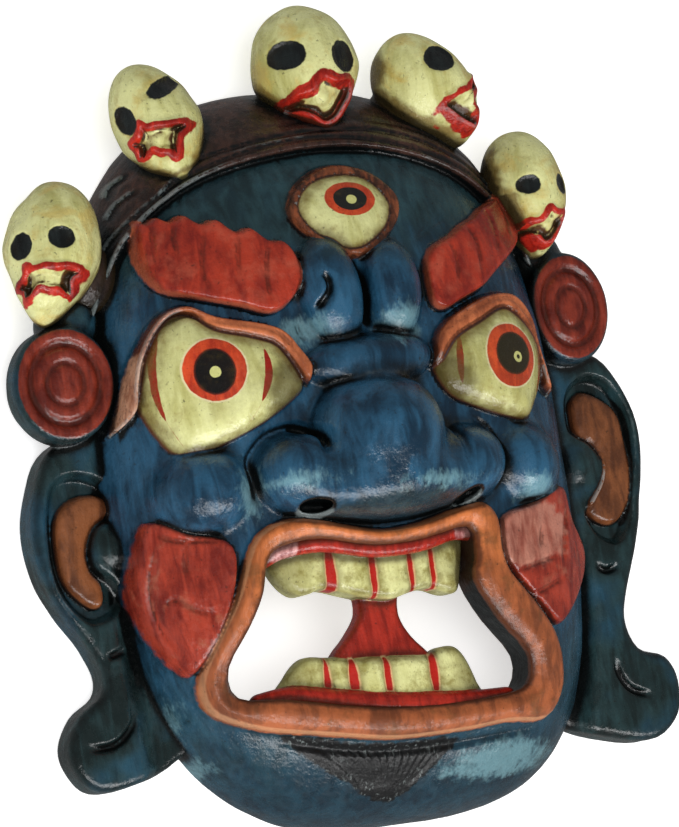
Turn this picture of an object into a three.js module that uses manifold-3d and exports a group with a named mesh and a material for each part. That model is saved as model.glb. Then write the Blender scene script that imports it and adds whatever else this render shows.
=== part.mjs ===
// A carved wooden dance mask: a wrathful three-eyed face with five skulls on its hair band, lying on its back.
// Millimetres, +Z out of the face, +Y to the crown. The origin is under the middle of the mask, on the table.
import * as THREE from "three";
import { mergeVertices } from "three/addons/utils/BufferGeometryUtils.js";
import Module from "manifold-3d";

const wasm = await Module();
wasm.setup();

// Driving sizes
const maskHeight = 330; // chin to the top of the middle skull
const wallThickness = 15; // of the hollowed face
const rimWidth = 13; // flat edge that lies on the table
const earThickness = 18;
const roundelHeight = 29; // front of the ear roundels above the table
const bandRise = 5; // hair band above the forehead

// The carving is laid out on a grid of 330 units to the mask's height.
const unit = maskHeight / 330;
const domeHeight = 62 * unit;
const faceHalfWidth = 102 * unit;
const faceHalfLength = 148 * unit;
const faceCentre = new THREE.Vector2(1.5 * unit, -17 * unit);
const chinSwing = 12 * unit; // the chin stands a little to one side
const foreheadPower = 2.6; // outline: nearly an ellipse above, squarer at the jaw
const jawPower = 3;
const domePower = 3.2;
const tau = 2 * Math.PI;

// The bare face

const axisX = (down) => faceCentre.x + chinSwing * Math.min(0, down / faceHalfLength) ** 2;

function faceShare(x, y, inset = 0) {
  const down = y - faceCentre.y;
  const across = x - axisX(down);
  const power = down > 0 ? foreheadPower : jawPower;
  const wide = Math.abs(across) / (faceHalfWidth - inset);
  const long = Math.abs(down) / (faceHalfLength - inset);
  return (wide ** power + long ** power) ** (1 / power);
}

function faceZ(x, y) {
  const share = Math.min(faceShare(x, y), 1);
  return domeHeight * Math.sqrt(1 - share ** domePower);
}

// A closed three.js geometry as a solid whose faces point out.
function solid(geometry) {
  const bare = new THREE.BufferGeometry();
  bare.setAttribute("position", geometry.getAttribute("position"));
  if (geometry.index) bare.setIndex(geometry.index);
  const merged = mergeVertices(bare, 1e-3);
  const corners = [];
  for (let i = 0; i < merged.index.count; i += 3) {
    const [a, b, c] = [0, 1, 2].map((k) => merged.index.getX(i + k));
    if (a !== b && b !== c && c !== a) corners.push(a, b, c);
  }
  const build = (triVerts) =>
    new wasm.Manifold(
      new wasm.Mesh({
        numProp: 3,
        vertProperties: merged.getAttribute("position").array,
        triVerts: new Uint32Array(triVerts),
      }),
    );
  const made = build(corners);
  return made.volume() > 0 ? made : build(corners.reverse());
}

const join = (...solids) => solids.reduce((all, next) => all.add(next));

// Lengths that follow are in grid units unless a name says otherwise.
const grid = (...points) => points.map(([x, y, z = 0]) => new THREE.Vector3(x, y, z).multiplyScalar(unit));

function ellipsoid([x, y, z], [rx, ry, rz], { turn = 0, around = 12, rows = 8 } = {}) {
  const ball = new THREE.SphereGeometry(unit, around, rows);
  ball.scale(rx, ry, rz).rotateZ(THREE.MathUtils.degToRad(turn));
  return solid(ball.translate(x * unit, y * unit, z * unit));
}

// A tube through the points, with an oval section.
function cord(points, [halfWide, halfHigh], { steps = 10, sides = 6 } = {}) {
  const section = new THREE.Shape();
  for (let i = 0; i < sides; i++) {
    const angle = (i / sides) * tau;
    const corner = [Math.cos(angle) * halfHigh * unit, Math.sin(angle) * halfWide * unit];
    if (i) section.lineTo(...corner);
    else section.moveTo(...corner);
  }
  const path = new THREE.CatmullRomCurve3(grid(...points));
  return solid(new THREE.ExtrudeGeometry(section, { steps, extrudePath: path, bevelEnabled: false }));
}

// A pad that lies on the face: a turned profile of [share of the outline, rise] pairs, warped to a closed outline.
function pad(outline, profile, { segments = 28, sink = 9, surface = faceZ } = {}) {
  const rim = new THREE.CatmullRomCurve3(grid(...outline), true).getSpacedPoints(segments);
  const middle = new THREE.Vector3();
  rim.slice(0, segments).forEach((p) => middle.addScaledVector(p, 1 / segments));
  const edge = profile[profile.length - 1][0];
  const section = [...profile, [edge, -sink], [0, -sink]].map(([r, h]) => new THREE.Vector2(r, h * unit));
  const turned = new THREE.LatheGeometry(section, segments);
  const place = turned.getAttribute("position");
  for (let i = 0; i < place.count; i++) {
    const share = Math.hypot(place.getX(i), place.getZ(i));
    const turn = Math.atan2(place.getX(i), place.getZ(i)) / tau;
    const at = rim[Math.round((turn + 1) * segments) % segments];
    const x = middle.x + share * (at.x - middle.x);
    const y = middle.y + share * (at.y - middle.y);
    place.setXYZ(i, x, y, place.getY(i) + surface(x, y));
  }
  return solid(turned);
}

// A straight block with a closed outline, from one height to another.
function block(outline, low, high, { points = 40, round = 0, bevels = 1 } = {}) {
  const rim = new THREE.CatmullRomCurve3(grid(...outline), true).getSpacedPoints(points).slice(0, points);
  const shape = new THREE.Shape(rim.map((p) => new THREE.Vector2(p.x, p.y)));
  const made = new THREE.ExtrudeGeometry(shape, {
    depth: high - low - 2 * round,
    bevelEnabled: round > 0,
    bevelThickness: round,
    bevelSize: round,
    bevelOffset: -round,
    bevelSegments: bevels,
  });
  return solid(made.translate(0, 0, low + round));
}

// The dome of the face: a turned profile warped to the outline, drawn in by inset and raised by lift.
function dome(inset, height, base, rows, segments) {
  const profile = [];
  for (let i = 0; i <= rows; i++) {
    const share = Math.sin(((i / rows) * Math.PI) / 2) ** 0.8;
    profile.push(new THREE.Vector2(share, height * Math.sqrt(Math.max(0, 1 - share ** domePower))));
  }
  profile.push(new THREE.Vector2(1, base), new THREE.Vector2(0, base));
  const turned = new THREE.LatheGeometry(profile, segments).rotateX(Math.PI / 2);
  const place = turned.getAttribute("position");
  for (let i = 0; i < place.count; i++) {
    const [x, y] = [place.getX(i), place.getY(i)];
    const reach = Math.hypot(x, y);
    if (reach > 0) {
      const stretch = reach / unitReach(x / reach, y / reach, inset);
      const down = (y / reach) * stretch;
      place.setX(i, axisX(down) + (x / reach) * stretch);
      place.setY(i, faceCentre.y + down);
    } else {
      place.setX(i, faceCentre.x);
      place.setY(i, faceCentre.y);
    }
  }
  return solid(turned);
}

// One over the distance from the face's centre to its outline in a direction.
function unitReach(dx, dy, inset) {
  const power = dy > 0 ? foreheadPower : jawPower;
  const wide = Math.abs(dx) / (faceHalfWidth - inset);
  const long = Math.abs(dy) / (faceHalfLength - inset);
  return (wide ** power + long ** power) ** (1 / power);
}

// Hair band and skulls

const hairline = [
  [-97, 40],
  [-89, 60],
  [-77, 80],
  [-50, 96],
  [-8, 104],
  [28, 102],
  [62, 90],
  [85, 70],
  [97, 48],
];

function hairBand() {
  const under = [...hairline, [125, 30], [110, 150], [0, 175], [-115, 150], [-130, 30]];
  const keep = new THREE.Shape(grid(...under).map((p) => new THREE.Vector2(p.x, p.y)));
  const region = new THREE.ExtrudeGeometry(keep, { depth: 2 * domeHeight, bevelEnabled: false });
  const raised = dome(-bandRise, domeHeight + bandRise, 0, 6, 40).intersect(solid(region));
  const groove = hairline.map(([x, y]) => {
    const [px, py] = [x * 1.05, y + 6];
    return [px, py, faceZ(px * unit, py * unit) / unit + bandRise / unit];
  });
  return raised.subtract(cord(groove, [1.6, 2.4], { steps: 10, sides: 5 }));
}

const skulls = [
  { at: [-110, 74, 27], half: [19, 29, 20], yaw: -30, roll: -17 },
  { at: [-58, 121, 29], half: [19, 26, 20], yaw: -32, roll: 24 },
  { at: [7, 138, 30], half: [23, 28, 23], yaw: -10, roll: 5 },
  { at: [60, 127, 30], half: [19, 26, 22], yaw: 30, roll: 26 },
  { at: [97, 82, 28], half: [18, 27, 20], yaw: 8, roll: 4 },
];

function skull({ at, half, yaw, roll }) {
  const [rx, ry, rz] = half;
  const head = new THREE.SphereGeometry(1, 11, 8);
  const place = head.getAttribute("position");
  for (let i = 0; i < place.count; i++) {
    const low = Math.max(0, -place.getY(i));
    place.setX(i, place.getX(i) * (1 - 0.3 * low * low));
  }
  const spot = (x, y, z, r) =>
    solid(new THREE.SphereGeometry(1, 6, 4).scale(...r).translate(x * rx, y * ry, z * rz));
  const bone = solid(head.scale(rx, ry, rz));
  const sockets = [-0.42, 0.42].map((side) => spot(side, 0.26, 0.93, [4.8, 4.4, 3.4]));
  const mouth = spot(0, -0.42, 0.88, [10, 6, 4.4]);
  const teeth = spot(0, -0.42, 0.7, [6, 3.4, 4.6]);
  const face = join(bone.subtract(join(...sockets, mouth)), teeth);
  const [x, y, z] = at;
  const neck = ellipsoid([x * 0.87, y - 10, z - 6], [15, 15, 14], { around: 8, rows: 5 });
  return face.rotate([0, yaw, 0]).rotate([0, 0, roll]).translate(at).scale(unit).add(neck);
}

// Eyes, brows and forehead

const leftEye = [
  [-31, 10],
  [-39, 27],
  [-61, 35],
  [-70, 41],
  [-80, 30],
  [-85, 10],
  [-79, -9],
  [-62, -6],
  [-44, -1],
];
const rightEye = [
  [30, 10],
  [39, 23],
  [52, 29],
  [65, 34],
  [76, 26],
  [81, 12],
  [74, -5],
  [69, -11],
  [54, -7],
  [37, 0],
];
const leftLid = [
  [-94, 2],
  [-90, 17],
  [-82, 33],
  [-72, 43],
  [-60, 38],
  [-42, 32],
  [-31, 23],
  [-28, 11],
];
const rightLid = [
  [30, 8],
  [31, 20],
  [41, 28],
  [54, 34],
  [67, 37],
  [78, 28],
  [83, 12],
  [87, -1],
];
const thirdEye = [
  [-20, 78],
  [-13, 90],
  [4, 96],
  [20, 93],
  [27, 81],
  [19, 69],
  [4, 62],
  [-11, 68],
];
const eyeProfile = [
  [0, 9],
  [0.45, 8],
  [0.75, 5],
  [1, 0],
];
const draped = (points, rise) => points.map(([x, y]) => [x, y, faceZ(x * unit, y * unit) / unit + rise]);

function eyes() {
  const balls = [leftEye, rightEye].map((outline) => pad(outline, eyeProfile, { segments: 16 }));
  const lids = [leftLid, rightLid].map((path) => cord(draped(path, 1.5), [4.5, 5], { steps: 8 }));
  const lens = pad(thirdEye, [[0, 7], [0.5, 6], [0.82, 2.5], [0.86, 4.5], [0.95, 4.5], [1, 0]], { segments: 20 });
  return join(...balls, ...lids, lens);
}

const leftBrow = [
  [-76, 84],
  [-71, 81],
  [-66, 83],
  [-62, 79],
  [-55, 79],
  [-49, 74],
  [-43, 74],
  [-37, 70],
  [-29, 67],
  [-23, 60],
  [-22, 51],
  [-36, 39],
  [-52, 45],
  [-74, 53],
  [-79, 66],
];
const rightBrow = [
  [29, 46],
  [34, 56],
  [42, 60],
  [45, 64],
  [54, 68],
  [60, 75],
  [71, 79],
  [78, 84],
  [87, 80],
  [89, 68],
  [80, 54],
  [62, 43],
  [42, 35],
  [33, 33],
];
const padProfile = (rise) => [
  [0, rise],
  [0.8, rise],
  [0.95, rise * 0.7],
  [1, 0],
];

function brows() {
  const rows = [
    { outline: leftBrow, notches: [[-66, 81, -62, 58], [-54, 77, -50, 50], [-42, 73, -40, 46], [-31, 68, -30, 44]] },
    { outline: rightBrow, notches: [[43, 62, 44, 40], [55, 71, 56, 44], [67, 78, 68, 50], [79, 82, 78, 58]] },
  ];
  return join(
    ...rows.map(({ outline, notches }) => {
      const plate = pad(outline, padProfile(6), { segments: 26 });
      const cuts = notches.map(([x0, y0, x1, y1]) => {
        const points = [0, 1 / 3, 2 / 3, 1].map((t) => [x0 + (x1 - x0) * t, y0 + (y1 - y0) * t]);
        return cord(draped(points, 6.6), [1.2, 1.8], { steps: 3, sides: 4 });
      });
      return plate.subtract(join(...cuts));
    }),
  );
}

function forehead() {
  const knots = join(
    ellipsoid([-10, 46, 56], [14, 24, 19], { turn: 6, around: 10 }),
    ellipsoid([16, 45, 56], [13, 22, 18], { turn: -6, around: 10 }),
  );
  const slit = cord([[-17, 57, 73], [-14, 49, 76], [-15, 42, 76], [-19, 36, 74]], [2, 4], { steps: 6, sides: 6 });
  return knots.subtract(slit);
}

// Nose and cheeks

function nose() {
  const bridge = ellipsoid([1, 15, 60], [28, 11, 17]);
  const body = ellipsoid([-1, -16, 60], [29, 26, 34], { around: 13, rows: 8 });
  const wings = [
    ellipsoid([-33, -24, 56], [18, 16, 22], { around: 11, rows: 7 }),
    ellipsoid([35, -28, 56], [18, 16, 22], { around: 11, rows: 7 }),
  ];
  const tip = ellipsoid([0, -33, 62], [38, 14, 24], { around: 12, rows: 7 });
  const nostrils = [
    ellipsoid([-26, -40, 72], [8, 3.5, 8], { around: 7, rows: 5 }),
    ellipsoid([31, -43, 72], [8, 3.5, 8], { around: 7, rows: 5 }),
  ];
  const curl = cord([[-50, -20, 66], [-45, -10, 73], [-34, -6, 78], [-26, -10, 80], [-24, -16, 82]], [2.2, 6], {
    steps: 6,
    sides: 5,
  });
  return join(bridge, body, ...wings, tip).subtract(join(...nostrils, curl));
}

function cheeks() {
  return join(
    ellipsoid([-70, -24, 34], [23, 24, 31], { turn: 12 }),
    ellipsoid([67, -27, 36], [21, 25, 31], { turn: -12 }),
  );
}

const leftPatch = [
  [-79, -43],
  [-91, -37],
  [-96, -56],
  [-93, -78],
  [-84, -93],
  [-77, -94],
  [-66, -72],
  [-64, -49],
];
const rightPatch = [
  [52, -51],
  [68, -48],
  [87, -42],
  [92, -60],
  [90, -80],
  [78, -94],
  [66, -90],
  [51, -72],
];

function patches() {
  const marks = [
    [[-78, -46, -78, -58], [-89, -74, -70, -76]],
    [[76, -50, 75, -66], [57, -71, 80, -68]],
  ];
  return join(
    ...[leftPatch, rightPatch].map((outline, side) => {
      const plate = pad(outline, padProfile(5), { segments: 20 });
      const cuts = marks[side].map(([x0, y0, x1, y1]) => {
        const points = [0, 1 / 3, 2 / 3, 1].map((t) => [x0 + (x1 - x0) * t, y0 + (y1 - y0) * t]);
        return cord(draped(points, 5.5), [1.5, 2.2], { steps: 3, sides: 4 });
      });
      return plate.subtract(join(...cuts));
    }),
  );
}

// Mouth

const lipEdge = [
  [-58, -50],
  [-49, -43],
  [-36, -42],
  [-18, -47],
  [6, -50],
  [29, -45],
  [41, -44],
  [48, -51],
  [47, -64],
  [53, -78],
  [68, -95],
  [74, -110],
  [72, -123],
  [62, -131],
  [28, -131],
  [-10, -131],
  [-40, -126],
  [-62, -120],
  [-77, -111],
  [-79, -96],
  [-71, -80],
  [-63, -65],
];
const mouthEdge = [
  [-52, -57],
  [-46, -52],
  [-30, -51],
  [-9, -57],
  [12, -57],
  [33, -53],
  [35, -64],
  [33, -74],
  [42, -90],
  [55, -105],
  [54, -117],
  [40, -120],
  [12, -120],
  [-18, -117],
  [-50, -110],
  [-66, -107],
  [-69, -95],
  [-61, -81],
  [-55, -69],
];

function lips() {
  return pad(lipEdge, [[0, 2], [0.72, 2], [0.82, 5], [0.92, 6], [0.98, 4], [1, 0]], { segments: 32 });
}

const mouthOpening = () => block(mouthEdge, -5, 2 * domeHeight, { points: 32 });

// Boxy teeth, shoulder to shoulder, between the x values of a row.
function teethRow(edges, tops, bottoms, z) {
  const rows = [];
  for (let i = 0; i + 1 < edges.length; i++) {
    const tooth = new THREE.SphereGeometry(1, 8, 4);
    const place = tooth.getAttribute("position");
    const boxy = (v) => Math.sign(v) * Math.abs(v) ** 0.5;
    for (let k = 0; k < place.count; k++) {
      place.setXYZ(k, boxy(place.getX(k)), boxy(place.getY(k)), boxy(place.getZ(k)));
    }
    const half = [(edges[i + 1] - edges[i]) / 2 + 0.3, (tops[i] - bottoms[i]) / 2, 6];
    tooth.scale(...half).translate((edges[i] + edges[i + 1]) / 2, (tops[i] + bottoms[i]) / 2, z[i]);
    rows.push(solid(tooth.scale(unit, unit, unit)));
  }
  return join(...rows);
}

function teeth() {
  const upper = teethRow(
    [-45, -32, -24, -7, 9, 21, 36],
    [-53, -51, -53, -55, -54, -51],
    [-72, -72, -75, -77, -74, -77],
    [50, 53, 55, 55, 53, 50],
  );
  const lower = teethRow(
    [-45, -29, -19, -4, 15, 38],
    [-96, -95, -97, -99, -99],
    [-108, -112, -114, -117, -119],
    [46, 48, 49, 48, 46],
  );
  const gums = [
    cord([[-50, -54, 50], [-30, -51, 54], [0, -56, 55], [20, -55, 54], [37, -52, 50]], [4, 5], { steps: 5, sides: 5 }),
    cord([[-52, -110, 44], [-25, -114, 48], [5, -118, 49], [44, -120, 44]], [5, 5], { steps: 4, sides: 5 }),
  ];
  return join(upper, lower, ...gums);
}

function tongue() {
  const outline = [[-9, -72], [4, -72], [5, -82], [16, -98], [14, -106], [-22, -106], [-25, -98], [-12, -84]];
  return block(outline, 38 * unit, 50 * unit, { points: 18, round: 1.5 * unit });
}

const beard = [
  [-44, -124],
  [-10, -130],
  [34, -131],
  [22, -141],
  [-6, -154],
  [-28, -139],
];

// Ears

const leftEar = [
  [-76, 1],
  [-104, 4],
  [-119, -2],
  [-127, -18],
  [-130, -33],
  [-128, -50],
  [-122, -64],
  [-113, -79],
  [-109, -90],
  [-111, -98],
  [-121, -105],
  [-127, -116],
  [-125, -127],
  [-117, -135],
  [-101, -134],
  [-80, -127],
  [-68, -110],
];
const rightEar = [
  [81, 12],
  [108.5, 18],
  [126.5, 14],
  [136.5, -2],
  [140.5, -20],
  [137.5, -42],
  [131.5, -64],
  [124.5, -82],
  [120.5, -95],
  [124.5, -108],
  [136.5, -113],
  [141.5, -124],
  [138.5, -137],
  [127.5, -146],
  [109.5, -144],
  [87, -135],
  [73, -115],
];
const leftShell = [
  [-94, -20],
  [-110, -14],
  [-123, -26],
  [-125, -44],
  [-118, -60],
  [-106, -71],
  [-96, -66],
  [-99, -45],
];
const rightShell = [
  [106, -8],
  [115, 5],
  [129, -2],
  [133, -22],
  [130, -46],
  [120, -62],
  [107, -58],
  [104, -35],
];
const leftFold = [
  [-98, -26],
  [-107, -24],
  [-115, -32],
  [-116, -46],
  [-111, -57],
  [-103, -62],
];
const rightFold = [
  [112, -7],
  [121, -6],
  [127, -18],
  [126, -34],
  [121, -46],
  [112, -52],
];

function ears() {
  const sides = [
    { edge: leftEar, shell: leftShell, fold: leftFold, lobe: [[-99, -100], [-101, -111], [-109, -118], [-121, -118]] },
    { edge: rightEar, shell: rightShell, fold: rightFold, lobe: [[111, -109], [112, -119], [117, -125], [128, -128]] },
  ];
  const front = earThickness / unit;
  return join(
    ...sides.map(({ edge, shell, fold, lobe }) => {
      const plate = block(edge, 0, earThickness, { points: 26, round: 4 });
      const hollow = block(shell, earThickness - 7 * unit, 2 * earThickness, { points: 24 });
      const ridge = cord(fold.map(([x, y]) => [x, y, front - 5]), [5.5, 5], { steps: 8 });
      const groove = cord(lobe.map(([x, y]) => [x, y, front + 0.5]), [1.8, 2.4], { steps: 6, sides: 5 });
      return plate.subtract(hollow).add(ridge).subtract(groove);
    }),
  );
}

const roundels = [
  { at: [-112, 23], half: [20, 23], turn: -7 },
  { at: [111, 34], half: [19, 23], turn: 7 },
];

function roundel({ at, half, turn }) {
  const high = roundelHeight;
  const rings = [
    [0, high],
    [0.4, high - 0.5],
    [0.48, high - 1.8],
    [0.56, high - 0.5],
    [0.76, high - 2],
    [0.86, high],
    [1, high - 2],
    [1, high - 14],
    [0.75, 0],
    [0, 0],
  ];
  const disc = new THREE.LatheGeometry(rings.map(([r, z]) => new THREE.Vector2(r, z)), 16);
  disc.rotateX(Math.PI / 2);
  const place = disc.getAttribute("position");
  const lean = Math.tan(THREE.MathUtils.degToRad(turn));
  for (let i = 0; i < place.count; i++) {
    const x = place.getX(i) * half[0] * unit;
    const z = place.getZ(i) > 0 ? place.getZ(i) - lean * x : 0;
    place.setXYZ(i, at[0] * unit + x, at[1] * unit + place.getY(i) * half[1] * unit, z);
  }
  return solid(disc);
}

// The whole mask, cut from one block

function mask() {
  const head = join(
    dome(0, domeHeight, 0, 8, 40),
    hairBand(),
    forehead(),
    eyes(),
    brows(),
    nose(),
    cheeks(),
    patches(),
    lips(),
    pad(beard, [[0, 2], [0.85, 2], [1, 0]], { segments: 24 }),
  );
  const hollow = dome(rimWidth, domeHeight - wallThickness, -wallThickness, 5, 28);
  const face = head.subtract(mouthOpening());
  const outside = join(face, ears(), ...roundels.map(roundel), ...skulls.map(skull));
  const room = new THREE.BoxGeometry(2 * maskHeight, 2 * maskHeight, maskHeight);
  const above = solid(room.translate(0, 0, maskHeight / 2));
  return join(outside.intersect(above).subtract(hollow), teeth(), tongue());
}

function geometryOf(carved) {
  const { vertProperties, triVerts, numProp, numVert } = carved.getMesh();
  const place = new Float32Array(numVert * 3);
  for (let i = 0; i < numVert; i++) place.set(vertProperties.subarray(i * numProp, i * numProp + 3), i * 3);
  const geometry = new THREE.BufferGeometry();
  geometry.setAttribute("position", new THREE.BufferAttribute(place, 3));
  geometry.setIndex(new THREE.BufferAttribute(triVerts, 1));
  return geometry;
}

const paintedWood = new THREE.MeshStandardMaterial({ color: 0x1d3f63, roughness: 0.35, metalness: 0 });
const carving = new THREE.Mesh(geometryOf(mask()), paintedWood);
carving.name = "mask";

// The table point under the middle of the mask becomes the origin.
const bounds = new THREE.Box3().setFromObject(carving);
const centre = bounds.getCenter(new THREE.Vector3());
carving.position.set(-centre.x, -centre.y, -bounds.min.z);

const group = new THREE.Group();
group.add(carving);

export default group;
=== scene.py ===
import math

import bpy
import numpy as np
from mathutils import Matrix, Vector


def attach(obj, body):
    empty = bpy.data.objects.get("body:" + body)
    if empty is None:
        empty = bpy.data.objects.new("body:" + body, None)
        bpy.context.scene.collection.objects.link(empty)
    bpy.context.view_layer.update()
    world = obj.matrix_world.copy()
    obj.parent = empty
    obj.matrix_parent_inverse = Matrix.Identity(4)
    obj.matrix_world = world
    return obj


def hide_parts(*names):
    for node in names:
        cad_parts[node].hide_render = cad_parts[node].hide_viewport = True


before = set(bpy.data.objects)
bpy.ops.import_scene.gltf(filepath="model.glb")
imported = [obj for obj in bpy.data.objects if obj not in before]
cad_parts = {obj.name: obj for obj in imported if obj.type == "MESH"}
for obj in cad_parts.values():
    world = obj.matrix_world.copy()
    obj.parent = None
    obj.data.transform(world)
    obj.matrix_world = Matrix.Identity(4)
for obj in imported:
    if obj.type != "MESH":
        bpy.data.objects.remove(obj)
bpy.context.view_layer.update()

# All carving below is in millimetres, in the carver's own frame: x to the right in the photo's view,
# y up to the skulls, z out of the face, with the back rim at z 0. MIDDLE is the part's origin in it.
MIDDLE = np.array([4.13097, 0.44672, 0.0])
# The dome's height and its half axes across and along
DOME = 62.0
FACE_HALF = (102.0, 148.0)
# The hollow behind: how far inside the dome's outline and how high
HOLLOW = (13.0, DOME - 15)
COARSE = 1.0
# Distances are worked out tile by tile, from the shapes within reach of each
TILE = 22.0
REACH = 11.0


# Shapes on the flat: outlines, lines and their distances


def curve(points, closed=False, parts=4):
    """The points joined by a smooth line."""
    p = np.asarray(points, float)
    count = len(p)
    made = []
    for i in range(count if closed else count - 1):
        if closed:
            a, b, c, d = (p[(i + k) % count] for k in (-1, 0, 1, 2))
        else:
            a, b, c, d = p[max(i - 1, 0)], p[i], p[i + 1], p[min(i + 2, count - 1)]
        for t in np.arange(parts) / parts:
            made.append(
                0.5
                * (
                    2 * b
                    + (c - a) * t
                    + (2 * a - 5 * b + 4 * c - d) * t * t
                    + (3 * b - a - 3 * c + d) * t**3
                )
            )
    if not closed:
        made.append(p[-1])
    return np.array(made)


def loop(*points, parts=4):
    """A smooth closed outline through points."""
    return curve(points, True, parts)


def line_distance(points, line):
    """Distance from each point to an open line, and the share of its length at the nearest place."""
    best = np.full(len(points), 1e9)
    share = np.zeros(len(points))
    lengths = np.hypot(*(np.diff(line[:, :2], axis=0).T))
    total = lengths.sum()
    before = 0.0
    for a, b, length in zip(line[:-1], line[1:], lengths):
        if length < 1e-6:
            continue
        along = (b - a)[:2] / length
        offset = points - a[:2]
        t = np.clip(offset @ along, 0, length)
        gap = np.hypot(offset[:, 0] - t * along[0], offset[:, 1] - t * along[1])
        nearer = gap < best
        best[nearer] = gap[nearer]
        share[nearer] = (before + t[nearer]) / total
        before += length
    return best, share


def inside_distance(points, outline, far=14.0):
    """Distance from each point to a closed outline, above zero inside it."""
    low, high = outline.min(0) - far, outline.max(0) + far
    near = np.all((points > low) & (points < high), axis=1)
    found = np.full(len(points), -far)
    if not near.any():
        return found
    p = points[near]
    ring = np.vstack([outline, outline[:1]])
    gap, _ = line_distance(p, ring)
    within = np.zeros(len(p), bool)
    for (ax, ay), (bx, by) in zip(ring[:-1], ring[1:]):
        if ay == by:
            continue
        crosses = (ay > p[:, 1]) != (by > p[:, 1])
        at = ax + (p[:, 1] - ay) * (bx - ax) / (by - ay)
        within ^= crosses & (p[:, 0] < at)
    found[near] = np.where(within, gap, -np.minimum(gap, far))
    return found


def ease(x):
    x = np.clip(x, 0, 1)
    return x * x * (3 - 2 * x)


def shoulder(x):
    """A rounded edge: 0 at the outline, 1 from one shoulder width inside it."""
    x = np.clip(x, 0, 1)
    return np.sqrt(1 - (1 - x) ** 2)


class Relief:
    """Heights in millimetres laid over the carving, on a half millimetre grid."""

    STEP = 0.5
    LOW = np.array([-150.0, -175.0])

    def __init__(self):
        self.height = np.zeros((601, 701))

    def window(self, points, margin):
        low = np.floor((points.min(0)[:2] - margin - self.LOW) / self.STEP).astype(int)
        high = np.ceil((points.max(0)[:2] + margin - self.LOW) / self.STEP).astype(int)
        low = np.maximum(low, 0)
        high = np.minimum(high + 1, self.height.shape)
        x = self.LOW[0] + np.arange(low[0], high[0]) * self.STEP
        y = self.LOW[1] + np.arange(low[1], high[1]) * self.STEP
        grid = np.stack(np.meshgrid(x, y, indexing="ij"), -1)
        return (slice(low[0], high[0]), slice(low[1], high[1])), grid

    def inside(self, outline, margin=2):
        """The window round an outline and the distances inside it."""
        place, grid = self.window(outline, margin)
        return place, inside_distance(grid.reshape(-1, 2), outline).reshape(grid.shape[:2])

    def plate(self, outline, rise, edge):
        """Raises the inside of an outline, with a rounded edge."""
        place, s = self.inside(outline)
        self.height[place] = np.maximum(self.height[place], rise * shoulder(s / edge))

    def line(self, points, width, depth, taper=0.25):
        """Cuts a groove of a half width along a line, shallower towards its ends."""
        path = curve(points)
        place, grid = self.window(path, width + 1)
        gap, share = line_distance(grid.reshape(-1, 2), path)
        ends = ease(np.minimum(share, 1 - share) / taper + 0.12)
        cut = depth * (1 - ease(gap / width)) * ends
        self.height[place] -= cut.reshape(grid.shape[:2])

    def at(self, x, y):
        u = np.clip((x - self.LOW[0]) / self.STEP, 0, self.height.shape[0] - 1.001)
        v = np.clip((y - self.LOW[1]) / self.STEP, 0, self.height.shape[1] - 1.001)
        i, j = u.astype(int), v.astype(int)
        u, v = u - i, v - j
        h = self.height
        return (
            h[i, j] * (1 - u) * (1 - v)
            + h[i + 1, j] * u * (1 - v)
            + h[i, j + 1] * (1 - u) * v
            + h[i + 1, j + 1] * u * v
        )


# Solid shapes: each is its lowest corner, its highest corner and its distance, below zero inside

LATTICE = np.random.default_rng(11).uniform(-1, 1, (32, 32, 32))


def wobble(p, size, shift=0.0):
    """A smooth hand-made unevenness between about -1 and 1."""
    q = p / size + shift
    cell = np.floor(q).astype(int)
    f = ease(q - cell)
    total = 0.0
    for dx in (0, 1):
        for dy in (0, 1):
            for dz in (0, 1):
                weight = (
                    np.where(dx, f[:, 0], 1 - f[:, 0])
                    * np.where(dy, f[:, 1], 1 - f[:, 1])
                    * np.where(dz, f[:, 2], 1 - f[:, 2])
                )
                corner = (cell + (dx, dy, dz)) % 32
                total = total + weight * LATTICE[corner[:, 0], corner[:, 1], corner[:, 2]]
    return total


def smooth_low(a, b, k):
    if k <= 0:
        return np.minimum(a, b)
    h = np.maximum(k - np.abs(a - b), 0) / k
    return np.minimum(a, b) - h * h * k / 4


def smooth_high(a, b, k):
    return -smooth_low(-a, -b, k)


def ball(centre, radii, turn=0.0):
    """An ellipsoid, turned in degrees about z."""
    c, r = np.array(centre, float), np.array(radii, float)
    cos, sin = math.cos(math.radians(turn)), math.sin(math.radians(turn))
    reach = np.array([r[:2].max(), r[:2].max(), r[2]]) if turn else r

    def distance(p):
        q = p - c
        if turn:
            q = np.stack([cos * q[:, 0] + sin * q[:, 1], cos * q[:, 1] - sin * q[:, 0], q[:, 2]], 1)
        near = np.sqrt(((q / r) ** 2).sum(1)) + 1e-9
        steep = np.sqrt(((q / r**2) ** 2).sum(1)) + 1e-9
        return near * (near - 1) / steep

    return c - reach, c + reach, distance


def rod(points, radius, end=None):
    """A round cord along a line, from one radius to another."""
    path = curve(points)
    last = radius if end is None else end
    most = max(radius, last)

    def distance(p):
        best = np.full(len(p), 1e9)
        count = len(path) - 1
        for i in range(count):
            a, b = path[i], path[i + 1]
            ab = b - a
            t = np.clip(((p - a) @ ab) / (ab @ ab + 1e-9), 0, 1)
            gap = np.sqrt(((p - a - t[:, None] * ab) ** 2).sum(1))
            best = np.minimum(best, gap - (radius + (last - radius) * (i + t) / count))
        return best

    return path.min(0) - most, path.max(0) + most, distance


def slab(outline, low, high, edge):
    """A block with a closed outline between two heights, its corners rounded."""

    def distance(p):
        side = -inside_distance(p[:, :2], outline)
        return smooth_high(smooth_high(side, p[:, 2] - high, edge), low - p[:, 2], edge)

    return np.array([*outline.min(0), low]), np.array([*outline.max(0), high]), distance


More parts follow.
